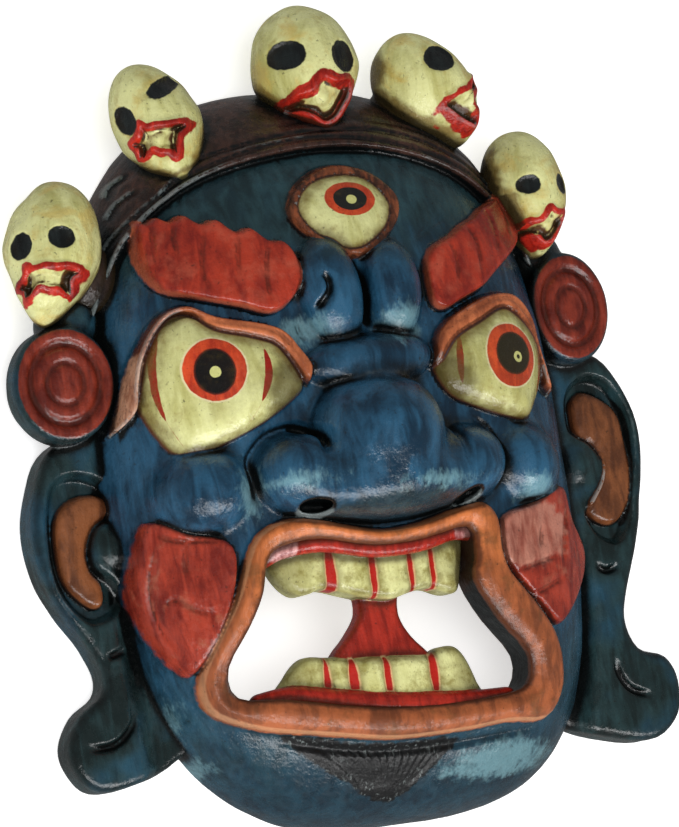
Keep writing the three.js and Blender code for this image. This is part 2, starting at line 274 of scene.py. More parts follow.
class Carving:
    """A solid made by joining and cutting shapes in turn; value() is its distance field."""

    def __init__(self):
        self.steps = []

    def join(self, shape, blend=0.0):
        self.steps.append(("join", *shape, blend))
        return self

    def cut(self, shape, blend=0.0):
        self.steps.append(("cut", *shape, blend))
        return self

    def shape(self):
        """The whole of it as one shape."""
        joined = [s for s in self.steps if s[0] == "join"]
        low = np.min([s[1] for s in joined], axis=0)
        high = np.max([s[2] for s in joined], axis=0)
        return low, high, self.value

    def value(self, p):
        found = np.full(len(p), 30.0)
        if not len(p):
            return found
        key = np.floor(p[:, 0] / TILE) * 1000 + np.floor(p[:, 1] / TILE)
        order = np.argsort(key, kind="stable")
        ends = np.flatnonzero(np.diff(key[order])) + 1
        for chosen in np.split(order, ends):
            found[chosen] = self.near_value(p[chosen])
        return found

    def near_value(self, p):
        low, high = p.min(0) - REACH, p.max(0) + REACH
        found = np.full(len(p), 30.0)
        for kind, first, last, distance, blend in self.steps:
            if np.any(first > high) or np.any(last < low):
                continue
            other = distance(p)
            if kind == "join":
                found = smooth_low(found, other, blend)
            else:
                found = smooth_high(found, -other, blend)
        return found


# The face's dome


def face_distance(p, inset=0.0, height=DOME):
    """Distance to the bare dome of the face, or to the hollow behind it."""
    down = p[:, 1] + 17
    axis = 1.5 + 12 * np.minimum(0, down / FACE_HALF[1]) ** 2
    power = np.where(down > 0, 2.6, 3.0)
    wide, long = FACE_HALF[0] - inset, FACE_HALF[1] - inset
    a = np.abs(p[:, 0] - axis) / wide + 1e-6
    b = np.abs(down) / long + 1e-6
    share = (a**power + b**power) ** (1 / power)
    slope = share ** (1 - power) * np.hypot(a ** (power - 1) / wide, b ** (power - 1) / long)
    z = np.maximum(p[:, 2], 0)
    over = share**3.2 + (z / height) ** 2 - 1
    steep = np.hypot(3.2 * share**2.2 * slope, 2 * z / height**2)
    return over / np.maximum(steep, 0.006)


def everywhere(distance):
    """A shape that may be anywhere on the mask."""
    return np.array([-180.0, -205, -30]), np.array([150.0, 175, 100]), distance


# All that lies under the floor
UNDERSIDE = everywhere(lambda p: p[:, 2])


# Outlines on the face

HAIRLINE = [[-99, 36], [-89, 60], [-77, 79], [-50, 96], [-8, 104], [28, 102], [62, 90], [85, 70], [97, 50]]
HAIR = np.vstack([curve(HAIRLINE), [[150, 30], [150, 190], [-150, 190], [-150, 22]]])
LEFT_EYE = loop([-88, 8], [-80.5, -10], [-72, -13], [-61, -10], [-46, -4], [-34, 3], [-28, 9], [-31, 20],
    [-37, 29], [-48, 34], [-60, 37.5], [-68, 43], [-81, 39], [-88.5, 23])
RIGHT_EYE = loop([28, 9], [29, 18.5], [35, 25], [50, 31], [64, 36], [73, 33], [81, 25], [84, 15], [82, 4],
    [76, -6], [69, -13], [58, -11], [46, -7], [34, -1])
LEFT_LID = np.vstack(
    [
        curve([[-97, 0], [-91, 20], [-86, 32], [-78, 43], [-68, 46], [-58, 40], [-41, 35], [-33, 31],
            [-28, 24], [-24, 16], [-26, 9]]),
        curve([[-29, 11], [-34, 20], [-39, 26], [-49, 30], [-60, 34], [-67, 41], [-73, 42], [-79, 37],
            [-84, 28], [-87, 18], [-89, 8], [-93, 3]]),
    ]
)
RIGHT_LID = np.vstack(
    [
        curve([[27, 10], [30, 22], [36, 29], [50, 36], [62, 39], [73, 38], [80, 30], [83, 18], [85, 6],
            [87, -4]]),
        curve([[82, 0], [80, 14], [76, 22], [70, 29], [63, 32], [51, 27], [38, 21], [31, 13]]),
    ]
)
THIRD_RIM = loop([-21, 78], [-17, 87], [-8, 94], [3, 97], [14, 95], [23, 89], [28, 80], [25, 71], [19, 65],
    [12, 60.5], [3, 57], [-6, 60], [-12, 64], [-18, 71])
THIRD_EYE = loop([-17.5, 78], [-14, 85.5], [-6, 90.5], [6, 92], [16, 88.5], [22, 79], [19, 70], [11, 63.5],
    [3, 60.5], [-6, 63], [-14, 70])
LEFT_BROW = loop([-78, 83], [-74, 82], [-70, 84], [-66, 81], [-61, 83], [-56, 78], [-50, 79], [-44, 73],
    [-38, 74], [-32, 68], [-26, 67], [-22, 60], [-22, 50], [-28, 42], [-37, 38], [-48, 42], [-62, 47],
    [-75, 53], [-80, 66], parts=3)
RIGHT_BROW = loop([31, 46], [32, 53], [36, 59], [42, 62], [47, 64], [53, 68], [60, 71], [66, 75], [73, 78],
    [78, 81], [83, 84], [88, 83], [90, 76], [89, 66], [85, 60], [78, 55], [67, 48], [57, 41], [45, 36],
    [37, 33], [32, 36], parts=3)
LEFT_PATCH = loop([-79, -42], [-91, -35], [-96, -50], [-97, -63], [-93, -78], [-86, -92], [-79, -95],
    [-66, -70], [-64, -49])
RIGHT_PATCH = loop([50, -50], [66, -46], [84, -40], [88, -54], [95, -68], [88, -82], [74, -95], [66, -91],
    [50, -72], [47, -60])
LIP = loop([-58, -50], [-49, -43], [-36, -42], [-18, -47], [-4, -50], [12, -49], [29, -45], [41, -44],
    [47, -51], [47, -63], [50, -73], [60, -85], [69, -97], [73, -110], [72, -123], [63, -132], [44, -131],
    [27, -132], [5, -132], [-10, -131], [-36, -126], [-58, -121], [-74, -113], [-79, -103], [-78, -94],
    [-73, -83], [-65, -68], parts=3)
MOUTH = loop([-52, -57], [-46, -52], [-30, -51], [-9, -56], [12, -56], [33, -53], [35, -64], [33, -74],
    [42, -90], [55, -105], [54, -117], [40, -120], [12, -120], [-18, -117], [-50, -110], [-66, -107],
    [-69, -95], [-61, -81], [-55, -69], parts=3)
BEARD = loop([-50, -124], [-29, -128.5], [-14, -131.5], [4, -133], [24, -134], [17, -141], [10, -147],
    [1, -154], [-5, -155], [-13, -152], [-25, -144], [-37, -136])


def low_relief():
    """What is carved on the dome itself: hair band, eyes, lids, brows, patches, lips and beard."""
    r = Relief()
    r.plate(HAIR, 5.2, 2.2)
    for offset, depth, first, sway in ((3.8, 1.3, 2, 0.0), (8.0, 1.2, 10, 1.0), (13.0, 0.6, 14, 2.0)):
        path = curve(HAIRLINE)[first:]
        away = path - (0.0, 10.0)
        away /= np.hypot(*away.T)[:, None]
        ripple = np.sin(np.arange(len(path)) * 0.55 + sway * 2) * 0.7
        r.line(path + away * (offset + ripple[:, None]), 1.5, depth, taper=0.2)
    for a, b in (([-80, 94], [-70, 104]), ([-84, 84], [-69, 97]), ([-66, 90], [-52, 99])):
        r.line([a, [(a[0] + b[0]) / 2 - 1.5, (a[1] + b[1]) / 2 + 1.5], b], 1.5, 1.4)
    for outline in (LEFT_EYE, RIGHT_EYE):
        r.plate(outline, 9.5, 17)
    for outline in (LEFT_LID, RIGHT_LID):
        r.plate(outline, 7.4, 2.4)
    r.line([[-88, 14], [-85, 26], [-78, 38], [-69, 42], [-59, 37.5], [-41, 32.5], [-34, 27], [-29, 19]],
        1.7, 1.3, taper=0.15)
    r.line([[29, 15], [34, 25], [50, 32.5], [62, 36], [72, 34], [80, 22], [84, 4]], 1.4, 0.9, taper=0.15)
    r.plate(THIRD_RIM, 5.2, 2.2)
    place, s = r.inside(THIRD_EYE)
    lens = 3.4 + 3.4 * shoulder(s / 12)
    r.height[place] = np.where(s > 0, lens, r.height[place])
    for outline in (LEFT_BROW, RIGHT_BROW):
        r.plate(outline, 6.4, 2.4)
    for path in (
        [[-72, 82], [-74, 74], [-75, 62]],
        [[-65, 80], [-67, 73], [-67, 64]],
        [[-55, 77], [-59, 64], [-60, 56], [-57, 48]],
        [[-44, 72], [-46, 62], [-47, 54]],
        [[-33, 67], [-36, 57], [-37, 47], [-35, 41]],
        [[43, 62], [46, 54], [44, 42]],
        [[54, 68], [58, 60], [57, 47]],
        [[67, 76], [70, 68], [69, 54]],
        [[79, 81], [81, 72], [79, 60]],
    ):
        r.line(path, 1.2, 0.9, taper=0.3)
    for outline in (LEFT_PATCH, RIGHT_PATCH):
        r.plate(outline, 5.0, 2.2)
    for path in (
        [[-88, -41], [-91, -52], [-92, -64], [-89, -78], [-84, -88]],
        [[-90, -39], [-84, -44], [-73, -46], [-67, -48]],
        [[-89, -70], [-86, -66], [-80, -71], [-72, -75]],
        [[-80, -44], [-81, -50], [-81, -58]],
        [[50, -73], [60, -71], [76, -68]],
        [[67, -56], [65, -65]],
        [[83, -50], [79, -62], [76, -72]],
        [[57, -83], [64, -81], [76, -77]],
    ):
        r.line(path, 1.6, 1.1, taper=0.3)
    r.plate(LIP, 6.0, 4.0)
    place, s = r.inside(MOUTH + (MOUTH - MOUTH.mean(0)) * 0.03, 6)
    r.height[place] -= 3.0 * ease((s + 5) / 7)
    for share in np.linspace(0.05, 0.95, 14):
        top = np.array([-42 + 64 * share, -127.5 - 7 * share])
        tip = top + (np.array([-4, -158]) - top) * 0.72
        r.line([top, (top + tip) / 2 + (0.6, 0.4), tip], 1.2, 0.8, taper=0.3)
    r.line([[-56, -124], [-36, -130], [-10, -135], [20, -136], [46, -135], [64, -134]], 2.6, 1.6, taper=0.2)
    return r


def top_relief():
    """Grooves and creases cut after the face's bulges are rounded."""
    r = Relief()
    r.line([[-53, -34], [-54, -20], [-48, -11], [-41, -7.5], [-33, -7], [-28, -11], [-26.5, -16]],
        2.9, 2.4, taper=0.4)
    r.line([[-38, -7], [-30, -8], [-26.5, -13], [-27, -20]], 3.6, 3.6, taper=0.3)
    r.line([[29, -8], [32, -20], [30, -33]], 3.0, 1.6, taper=0.5)
    r.line([[40, -8], [50, -15], [53, -25], [50, -36], [44, -41]], 2.0, 1.6, taper=0.3)
    r.line([[1, 60], [3, 48], [3, 36], [2, 28]], 3.2, 4.2, taper=0.2)
    r.line([[-17, 52], [-14.5, 48.5], [-14.5, 44], [-17, 40], [-20, 37]], 2.5, 3.6, taper=0.3)
    r.line([[-24, 8], [-12, 8], [0, 7], [12, 7], [24, 6]], 3.0, 1.0, taper=0.3)
    r.line([[29, 60], [40, 68], [54, 74]], 2.2, 1.1, taper=0.4)
    r.line([[-26, 36], [-25, 29], [-21, 24]], 1.8, 1.2, taper=0.4)
    return r


LOW_RELIEF, TOP_RELIEF = low_relief(), top_relief()


def plates(p):
    """The dome with all that lies on it."""
    return face_distance(p) - LOW_RELIEF.at(p[:, 0], p[:, 1])


def cheeks():
    c = Carving()
    c.join(ball((-67, -27, 35), (22, 20.5, 31), 10))
    c.join(ball((65, -30, 36), (20.5, 21, 31), -8))
    return c


NOSTRILS = ball((-32.5, -38.6, 68), (6.2, 2.4, 10), -4), ball((31.5, -41.5, 68), (6, 2.2, 10), 22)


def middle_bulges():
    """The knots between the brows and the nose."""
    c = Carving()
    c.join(ball((-10, 44, 55), (14.5, 24, 19), 6))
    c.join(ball((16, 43, 55), (13.5, 22, 18), -6), 1.5)
    c.join(ball((1, 16, 58), (29, 12, 17)), 1.5)
    nose = Carving()
    nose.join(ball((-1, -14, 59), (28, 27, 35)))
    nose.join(ball((-34, -25, 56), (19, 17, 22)), 8)
    nose.join(ball((36, -28, 56), (18, 16, 22)), 9)
    nose.join(ball((0, -33, 62), (38, 14, 24)), 9)
    for nostril in NOSTRILS:
        nose.cut(nostril, 1.2)
    return c.join(nose.shape(), 4.5)


CHEEKS, MIDDLE_BULGES = cheeks(), middle_bulges()


def head_solid():
    plain = Carving()
    plain.join(everywhere(plates))
    plain.join(CHEEKS.shape(), 3.5)
    plain.join(MIDDLE_BULGES.shape(), 2.2)

    def creased(p):
        rough = 0.32 * wobble(p, 13.0) + 0.12 * wobble(p, 5.0, 3.3)
        return plain.value(p) - (TOP_RELIEF.at(p[:, 0], p[:, 1]) + rough)

    c = Carving()
    c.join(everywhere(creased))
    c.cut(slab(MOUTH, -20, 140, 0), 1.6)
    c.cut(everywhere(lambda p: face_distance(p, *HOLLOW) - 0.3 * wobble(p, 9.0)), 1.5)
    return c.cut(UNDERSIDE, 1.2)


# Turning a solid's field into a mesh


def sample(field, low, high, step):
    """The field's values on a grid, worked out finely only near its surface."""
    count = (np.ceil((high - low) / step / 4).astype(int)) * 4
    coarse = count // 4 + 1
    grids = [low[a] + np.arange(coarse[a]) * 4 * step for a in range(3)]
    points = np.stack(np.meshgrid(*grids, indexing="ij"), -1).reshape(-1, 3)
    rough = field(points).reshape(coarse)
    blocks = tuple(n - 1 for n in coarse)
    least = np.full(blocks, 1e9)
    most = np.full(blocks, -1e9)
    for i in (0, 1):
        for j in (0, 1):
            for k in (0, 1):
                part = rough[i : i + blocks[0], j : j + blocks[1], k : k + blocks[2]]
                least = np.minimum(least, part)
                most = np.maximum(most, part)
    slack = 3.4 * step
    active = (least < slack) & (most > -slack)
    values = np.repeat(np.repeat(np.repeat(rough, 4, 0), 4, 1), 4, 2)
    values = values[: count[0] + 1, : count[1] + 1, : count[2] + 1].copy()
    wanted = np.zeros(values.shape, bool)
    for bi, bj, bk in np.argwhere(active) * 4:
        wanted[bi : bi + 5, bj : bj + 5, bk : bk + 5] = True
    places = np.argwhere(wanted)
    values[wanted] = field(low + places * step)
    return values


def net(values, low, step):
    """A mesh of the surface where the values pass through zero."""
    inside = values < 0
    size = [n - 1 for n in values.shape]
    total = np.zeros(size, np.int8)
    corners = [(i, j, k) for i in (0, 1) for j in (0, 1) for k in (0, 1)]
    for i, j, k in corners:
        total += inside[i : i + size[0], j : j + size[1], k : k + size[2]]
    mixed = (total > 0) & (total < 8)
    cells = np.argwhere(mixed)
    number = np.full(size, -1, np.int64)
    number[mixed] = np.arange(len(cells))
    spot = np.zeros((len(cells), 3))
    hits = np.zeros(len(cells))
    for a in corners:
        for axis in range(3):
            if a[axis]:
                continue
            b = list(a)
            b[axis] = 1
            va = values[tuple((cells + a).T)]
            vb = values[tuple((cells + b).T)]
            cross = (va < 0) != (vb < 0)
            t = va[cross] / (va[cross] - vb[cross])
            at = np.tile(np.array(a, float), (len(t), 1))
            at[:, axis] = t
            spot[cross] += at
            hits[cross] += 1
    spot = low + (cells + spot / hits[:, None]) * step
    faces = []
    for axis in range(3):
        u, v = (axis + 1) % 3, (axis + 2) % 3
        near = [slice(1, n) for n in size]
        near[axis] = slice(0, size[axis])
        far = list(near)
        far[axis] = slice(1, size[axis] + 1)
        first, second = inside[tuple(near)], inside[tuple(far)]
        places = np.argwhere(first != second)
        outward = first[tuple(places.T)]
        lattice = places.copy()
        lattice[:, u] += 1
        lattice[:, v] += 1
        quad = []
        for du, dv in ((0, 0), (-1, 0), (-1, -1), (0, -1)):
            at = lattice.copy()
            at[:, u] += du
            at[:, v] += dv
            quad.append(number[tuple(at.T)])
        quad = np.stack(quad, 1)
        quad[~outward] = quad[~outward][:, ::-1]
        faces.append(quad)
    return spot, np.vstack(faces)


def slope(field, p, reach=0.35):
    """The field's value and its direction of rise at points."""
    corners = np.array([[1, 1, 1], [1, -1, -1], [-1, 1, -1], [-1, -1, 1]], float)
    total = np.zeros_like(p)
    middle = np.zeros(len(p))
    for corner in corners:
        value = field(p + corner * reach)
        total += corner * value[:, None]
        middle += value / 4
    rise = total / (4 * reach)
    return middle, rise


def build(name, field, low, high, step, most):
    """The piece's mesh object: sampled, thinned to its share of triangles and drawn onto the surface."""
    step = step * COARSE
    low, high = np.array(low, float), np.array(high, float)
    low[2] = -1.5 * step
    spot, faces = net(sample(field, low, high, step), low, step)
    mesh = bpy.data.meshes.new(name)
    mesh.from_pydata(spot.tolist(), [], faces.tolist())
    piece = bpy.data.objects.new(name, mesh)
    bpy.context.scene.collection.objects.link(piece)
    triangles = 2 * len(faces)
    most = most / COARSE**2
    if triangles > most:
        thin = piece.modifiers.new("thin", "DECIMATE")
        thin.ratio = most / triangles
        bpy.context.view_layer.update()
        ready = piece.evaluated_get(bpy.context.evaluated_depsgraph_get())
        fresh = bpy.data.meshes.new_from_object(ready)
        piece.modifiers.clear()
        piece.data = fresh
        bpy.data.meshes.remove(mesh)
        mesh = fresh
        mesh.name = name
    p = np.zeros(len(mesh.vertices) * 3)
    mesh.vertices.foreach_get("co", p)
    p = p.reshape(-1, 3)
    for _ in range(2):
        value, rise = slope(field, p)
        size = np.maximum((rise**2).sum(1), 0.15)
        step_back = (value / size)[:, None] * rise
        length = np.sqrt((step_back**2).sum(1))
        p -= step_back * np.minimum(1, 0.5 * step / np.maximum(length, 1e-9))[:, None]
    p[:, 2] = np.maximum(p[:, 2], 0)
    mesh.vertices.foreach_set("co", ((p - MIDDLE) / 1000).ravel())
    mesh.update()
    mesh.polygons.foreach_set("use_smooth", [True] * len(mesh.polygons))
    _, rise = slope(field, p)
    normal = rise / np.maximum(np.sqrt((rise**2).sum(1)), 1e-9)[:, None]
    return piece, p, normal


# Ears and roundels

LEFT_EAR = loop([-76, 1], [-104, 4], [-119, -2], [-127, -18], [-130, -33], [-128, -50], [-122, -64],
    [-113, -79], [-109, -90], [-111, -98], [-121, -105], [-127, -116], [-125, -127], [-117, -135],
    [-101, -134], [-80, -127], [-68, -110])
RIGHT_EAR = loop([81, 12], [108, 18], [126, 14], [136.5, -2], [140.5, -20], [137.5, -42], [131.5, -64],
    [124.5, -82], [120.5, -95], [124.5, -108], [136.5, -113], [141, -124], [138.5, -137], [127.5, -146],
    [109.5, -144], [87, -135], [73, -115])
LEFT_SHELL = loop([-94, -19], [-101, -13], [-111, -10.5], [-120, -14], [-124.5, -27], [-125, -48],
    [-120.5, -62], [-111, -71], [-100, -68], [-95, -61], [-99, -53], [-105, -48], [-106, -41], [-103, -34],
    [-94, -30])
RIGHT_SHELL = loop([106, -15], [106.5, -3], [111, 4], [120, 7], [130, 2], [136, -10], [137, -23],
    [133.5, -41], [129, -57], [122, -65], [113, -61], [108, -51], [112, -45], [117, -38], [119, -30],
    [115, -23], [109, -19])
LEFT_CONCHA = loop([-96, -27], [-98, -21.5], [-107, -19.5], [-116, -23], [-120.5, -31], [-121, -47],
    [-118, -56], [-110, -64], [-104.5, -63], [-104, -55], [-108, -49], [-108.5, -41], [-105, -33],
    [-98, -29])
RIGHT_CONCHA = loop([110, -10], [111, -4], [117, 0], [126, -4], [132, -11], [133.5, -21], [133.5, -32],
    [130, -48], [125, -55], [118, -56], [111, -51], [110, -46], [117, -38], [120, -29], [117, -22],
    [111, -18])


def ear_relief():
    r = Relief()
    for outline in (LEFT_SHELL, RIGHT_SHELL):
        place, s = r.inside(outline)
        r.height[place] -= 6.5 * ease((s + 0.6) / 4.2)
    for outline in (LEFT_CONCHA, RIGHT_CONCHA):
        place, s = r.inside(outline)
        r.height[place] += 4.6 * shoulder(s / 2.6) + 0.8 * ease(s / 8)
    x = (r.LOW[0] + np.arange(r.height.shape[0]) * r.STEP)[:, None]
    y = (r.LOW[1] + np.arange(r.height.shape[1]) * r.STEP)[None, :]
    low_half = 0.35 + 0.65 * ease((-52 - y) / 16)
    slope_left = ease((x + 103 - 0.10 * np.maximum(0, -95 - y)) / 11)
    slope_right = ease((109 - 0.22 * np.maximum(0, -95 - y) - x) / 11)
    r.height -= 7.5 * low_half * np.maximum(np.where(x < 0, slope_left, 0), np.where(x > 0, slope_right, 0))
    r.line([[-108, -84], [-103, -83], [-98, -81]], 2.4, 2.6, taper=0.4)
    r.line([[109, -71], [114, -75], [121, -73]], 2.4, 2.8, taper=0.4)
    r.line([[-100, -101], [-100, -110], [-107, -117], [-115, -118.5], [-122, -117]], 2.6, 3.2, taper=0.35)
    r.line([[112, -109], [113, -118], [118, -125], [128, -128.5]], 2.6, 3.2, taper=0.35)
    return r


EAR_RELIEF = ear_relief()
EAR_THICK = 18.0


def ear_plate(outline):
    """An ear's flat body, with its relief on the front."""

    def distance(p):
        side = -inside_distance(p[:, :2], outline)
        top = p[:, 2] - EAR_THICK - EAR_RELIEF.at(p[:, 0], p[:, 1]) - 0.3 * wobble(p, 11.0, 5.1)
        return smooth_high(side + 0.25 * wobble(p, 9.0, 8.2), top, 5.5)

    high = np.array([*outline.max(0), EAR_THICK + 4])
    return np.array([*outline.min(0), 0.0]), high, distance


# Each roundel: its middle, its half axes and its tilt in degrees
ROUNDELS = (((-112, 23), (20, 23), -7), ((111, 34), (19, 23), 7))
# The rings cut into it: the share of its radius, the width as a share and the depth
ROUNDEL_DIPS = ((0.36, 0.07, 1.5), (0.68, 0.09, 2.4))


def roundel_place(p, at, half, turn):
    """Distance from the middle as a share, and the height above the tilted front."""
    x, y = p[:, 0] - at[0], p[:, 1] - at[1]
    share = np.hypot(x / half[0], y / half[1])
    return share, p[:, 2] - 29 + math.tan(math.radians(turn)) * x


def roundel(at, half, turn):
    def distance(p):
        share, above = roundel_place(p, at, half, turn)
        dip = sum(deep * np.exp(-(((share - at) / wide) ** 2)) for at, wide, deep in ROUNDEL_DIPS)
        front = above + dip + 1.2 * ease((share - 0.8) / 0.3) + 0.3 * wobble(p, 8.0, 2.0)
        radius = 1 - 0.25 * np.clip((15 - p[:, 2]) / 15, 0, 1)
        return smooth_high((share - radius) * half[0], front, 3.0)

    at, half = np.array(at), np.array(half)
    return np.array([*(at - half), 0.0]), np.array([*(at + half), 34.0]), distance


def ears_solid():
    c = Carving()
    c.join(ear_plate(LEFT_EAR))
    c.join(ear_plate(RIGHT_EAR))
    c.join(ball((-98, -42, 12), (9, 9, 9)), 2.0)
    c.join(ball((109, -30, 12), (9, 10, 9)), 2.0)
    for at, half, turn in ROUNDELS:
        c.join(roundel(at, half, turn), 1.5)
    c.join(ball((-103, 47, 13), (13, 14, 14)), 3.0)
    c.join(ball((103, 57, 13), (13, 13, 14)), 3.0)
    c.cut(UNDERSIDE, 1.0)
    return c.cut(everywhere(lambda p: face_distance(p, 11, DOME - 13)), 0.5)


# Skulls

# Mouths, as shares of a skull's half axes
WIDE_MOUTH = np.array((
    [-0.74, -0.5], [-0.52, -0.38], [-0.42, -0.14], [-0.26, -0.22], [0.0, -0.18], [0.26, -0.2], [0.5, -0.18],
    [0.78, -0.26], [0.56, -0.42], [0.5, -0.62], [0.4, -0.8], [0.22, -0.68], [0.0, -0.7], [-0.18, -0.64],
    [-0.36, -0.76], [-0.56, -0.8], [-0.6, -0.64],
))
TALL_MOUTH = np.array((
    [-0.74, -0.44], [-0.5, -0.3], [-0.22, -0.24], [0.0, -0.04], [0.1, 0.0], [0.34, -0.12], [0.68, -0.1],
    [0.72, -0.34], [0.54, -0.56], [0.34, -0.76], [0.06, -0.84], [-0.2, -0.7], [-0.42, -0.6], [-0.62, -0.56],
))
SIDE_MOUTH = np.array((
    [-0.78, -0.14], [-0.36, -0.04], [0.06, 0.04], [0.34, 0.20], [0.66, 0.34], [0.76, 0.16], [0.5, 0.0],
    [0.2, -0.12], [0.34, -0.30], [0.62, -0.38], [0.54, -0.60], [0.2, -0.56], [-0.12, -0.46], [-0.46, -0.32],
))
# Each skull: its middle, half axes, yaw and roll in degrees, its mouth (outline, growth, tilt, middle,
# half width of the painted line) and its sockets (middle and half axes), left to right
SKULLS = [
    dict(zip(("at", "half", "yaw", "roll", "mouth", "sockets"), skull))
    for skull in (
        ((-110, 74, 27), (19, 29, 20), -30, -17, (WIDE_MOUTH, (0.92, 0.60), 12, (3.0, -14.6), 1.5),
         ((-8.4, -2.2, 4.6, 5.4), (7.0, 3.0, 4.9, 4.6))),
        ((-58, 120, 29), (17.4, 28, 20), -32, 24, (WIDE_MOUTH, (0.90, 0.80), -24, (-0.6, -3.5), 1.7),
         ((-8.2, 9.6, 4.4, 6.0), (10.5, 13.6, 6.2, 3.6))),
        ((7, 138, 30), (22, 28, 23), -10, 5, (TALL_MOUTH, (0.88, 0.80), -4, (-0.5, -13.5), 2.6),
         ((-10.4, 6.0, 7.2, 6.0), (12.2, 1.6, 5.2, 6.6))),
        ((58.5, 127, 30), (17.6, 26.5, 20), 30, 30, (SIDE_MOUTH, (0.76, 0.80), -24, (-1.2, -12.4), 1.4),
         ((-2.6, 8.8, 7.0, 6.0), (15.0, 7.6, 3.0, 5.8))),
        ((97, 82, 28), (16.8, 26.5, 20), 8, 4, (TALL_MOUTH, (0.80, 0.60), -4, (-2.6, -15.5), 2.0),
         ((-7.8, 1.8, 4.4, 4.0), (8.2, 0.2, 3.8, 4.4))),
    )
]


def skull_turn(skull):
    yaw = Matrix.Rotation(math.radians(skull["yaw"]), 3, "Y")
    roll = Matrix.Rotation(math.radians(skull["roll"]), 3, "Z")
    return np.array(roll @ yaw)


def skull_place(p, skull):
    """Points in the skull's own frame: x across, y up, z out of its face."""
    return (p - skull["at"]) @ skull_turn(skull)


def skull_mouth(skull):
    """The mouth's outline on the skull's own flat, in millimetres."""
    outline, grow, tilt, middle, _ = skull["mouth"]
    cos, sin = math.cos(math.radians(tilt)), math.sin(math.radians(tilt))
    points = (outline - outline.mean(0)) * grow * skull["half"][:2]
    return curve(points @ np.array([[cos, sin], [-sin, cos]]) + middle, True, 3)


def skull_sockets(flat, skull):
    """Above zero inside the two eye sockets, in millimetres."""
    best = np.full(len(flat), -6.0)
    for x, y, wide, tall in skull["sockets"]:
        away = np.hypot((flat[:, 0] - x) / wide, (flat[:, 1] - y) / tall)
        best = np.maximum(best, (1 - away) * min(wide, tall))
    return best


def skull_shape(skull):
    half = np.array(skull["half"], float)
    mouth = skull_mouth(skull)
    ring = np.vstack([mouth, mouth[:1]])
    middle = mouth.mean(0)

    def distance(p):
        q = skull_place(p, skull)
        low = np.maximum(0, -q[:, 1] / half[1])
        egg = q.copy()
        egg[:, 0] /= 1 - 0.5 * low**1.3
        near = np.sqrt(((egg / half) ** 2).sum(1)) + 1e-9
        steep = np.sqrt(((egg / half**2) ** 2).sum(1)) + 1e-9
        found = near * (near - 1) / steep
        face = (np.abs(found) < 8) & (q[:, 2] > 0)
        if face.any():
            flat = q[face][:, :2]
            lift = -1.6 * ease((skull_sockets(flat, skull) + 0.6) / 2.6)
            gap, _ = line_distance(flat, ring)
            s = inside_distance(flat, mouth)
            teeth = np.exp(-((flat[:, 0] - middle[0]) ** 2) / 20 - (flat[:, 1] - middle[1]) ** 2 / 16)
            lift += 1.3 * (1 - ease(gap / 2.6)) - 3.2 * ease((s - 0.4) / 3) + 3.2 * teeth * ease(s / 2)
            found[face] -= lift * ease(q[face][:, 2] / 6)
        return found - 0.55 * wobble(p, 8.0, 1.7)

    reach = np.array([max(half)] * 3)
    return np.array(skull["at"]) - reach, np.array(skull["at"]) + reach, distance


def skull_neck(skull):
    """The wood that joins a skull to the hair band."""
    x, y, z = skull["at"]
    return ball((x * 0.86, y - 9, z - 11), (15, 15, 14))


def skulls_solid():
    c = Carving()
    for skull in SKULLS:
        c.join(skull_neck(skull))
        c.join(skull_shape(skull), 1.5)
    c.cut(everywhere(lambda p: face_distance(p, 6, DOME - 6)), 0)
    return c.cut(UNDERSIDE, 1.0)


# Teeth, gums and tongue

UPPER_TEETH = loop([-49, -52], [-47, -60], [-43, -67], [-38, -71], [-33, -71], [-27, -70], [-13, -74.5],
    [-1, -77], [8, -75.5], [17, -74.5], [25, -77.5], [30, -77], [33, -70], [37, -55], [36, -49], [20, -51],
    [0, -52], [-25, -48], [-42, -48])
LOWER_TEETH = loop([-51, -109], [-46, -102], [-41, -97], [-36, -95], [-28, -96], [-15, -98], [-2, -99],
    [13, -100], [20, -98], [27, -98.5], [32, -104], [36, -113], [38, -122], [3, -121], [-34, -116])
TONGUE = loop([-10, -70], [5, -70], [5, -83], [9, -92], [17, -102], [14, -110], [-22, -110], [-26, -98],
    [-18, -89], [-12, -81])
UPPER_GUM = [[-52, -56, 52], [-44, -53, 55], [-28, -52.5, 58.5], [-8, -57, 60], [12, -57, 60],
    [27, -54, 58.5], [38, -55, 54]]
LOWER_GUM = [[-57, -111, 42], [-44, -110, 46], [-25, -114, 49], [5, -118.5, 50], [30, -121, 48],
    [47, -121.5, 44]]
UPPER_GAPS = ((-24.5, 1.9), (-7.5, 1.3), (9, 1.1), (19, 1.1))
LOWER_GAPS = ((-30, 1.3), (-19.5, 1.8), (-5.5, 1.4), (15, 1.7))
UPPER_SPAN, LOWER_SPAN = (-52, -77), (-97, -116)


def gap_distance(p, gaps, span):
    """Distance above zero inside the red lines between the teeth of a row; they narrow at both ends."""
    along = np.clip((p[:, 1] - span[1]) / (span[0] - span[1]), 0, 1)
    swell = np.sin(np.pi * np.clip(along * 0.9 + 0.08, 0, 1)) ** 0.6
    best = np.full(len(p), -6.0)
    for x, half in gaps:
        lean = 0.5 * np.sin(x * 3.1) * (along - 0.5)
        best = np.maximum(best, half * swell - np.abs(p[:, 0] - x - lean))
    return best


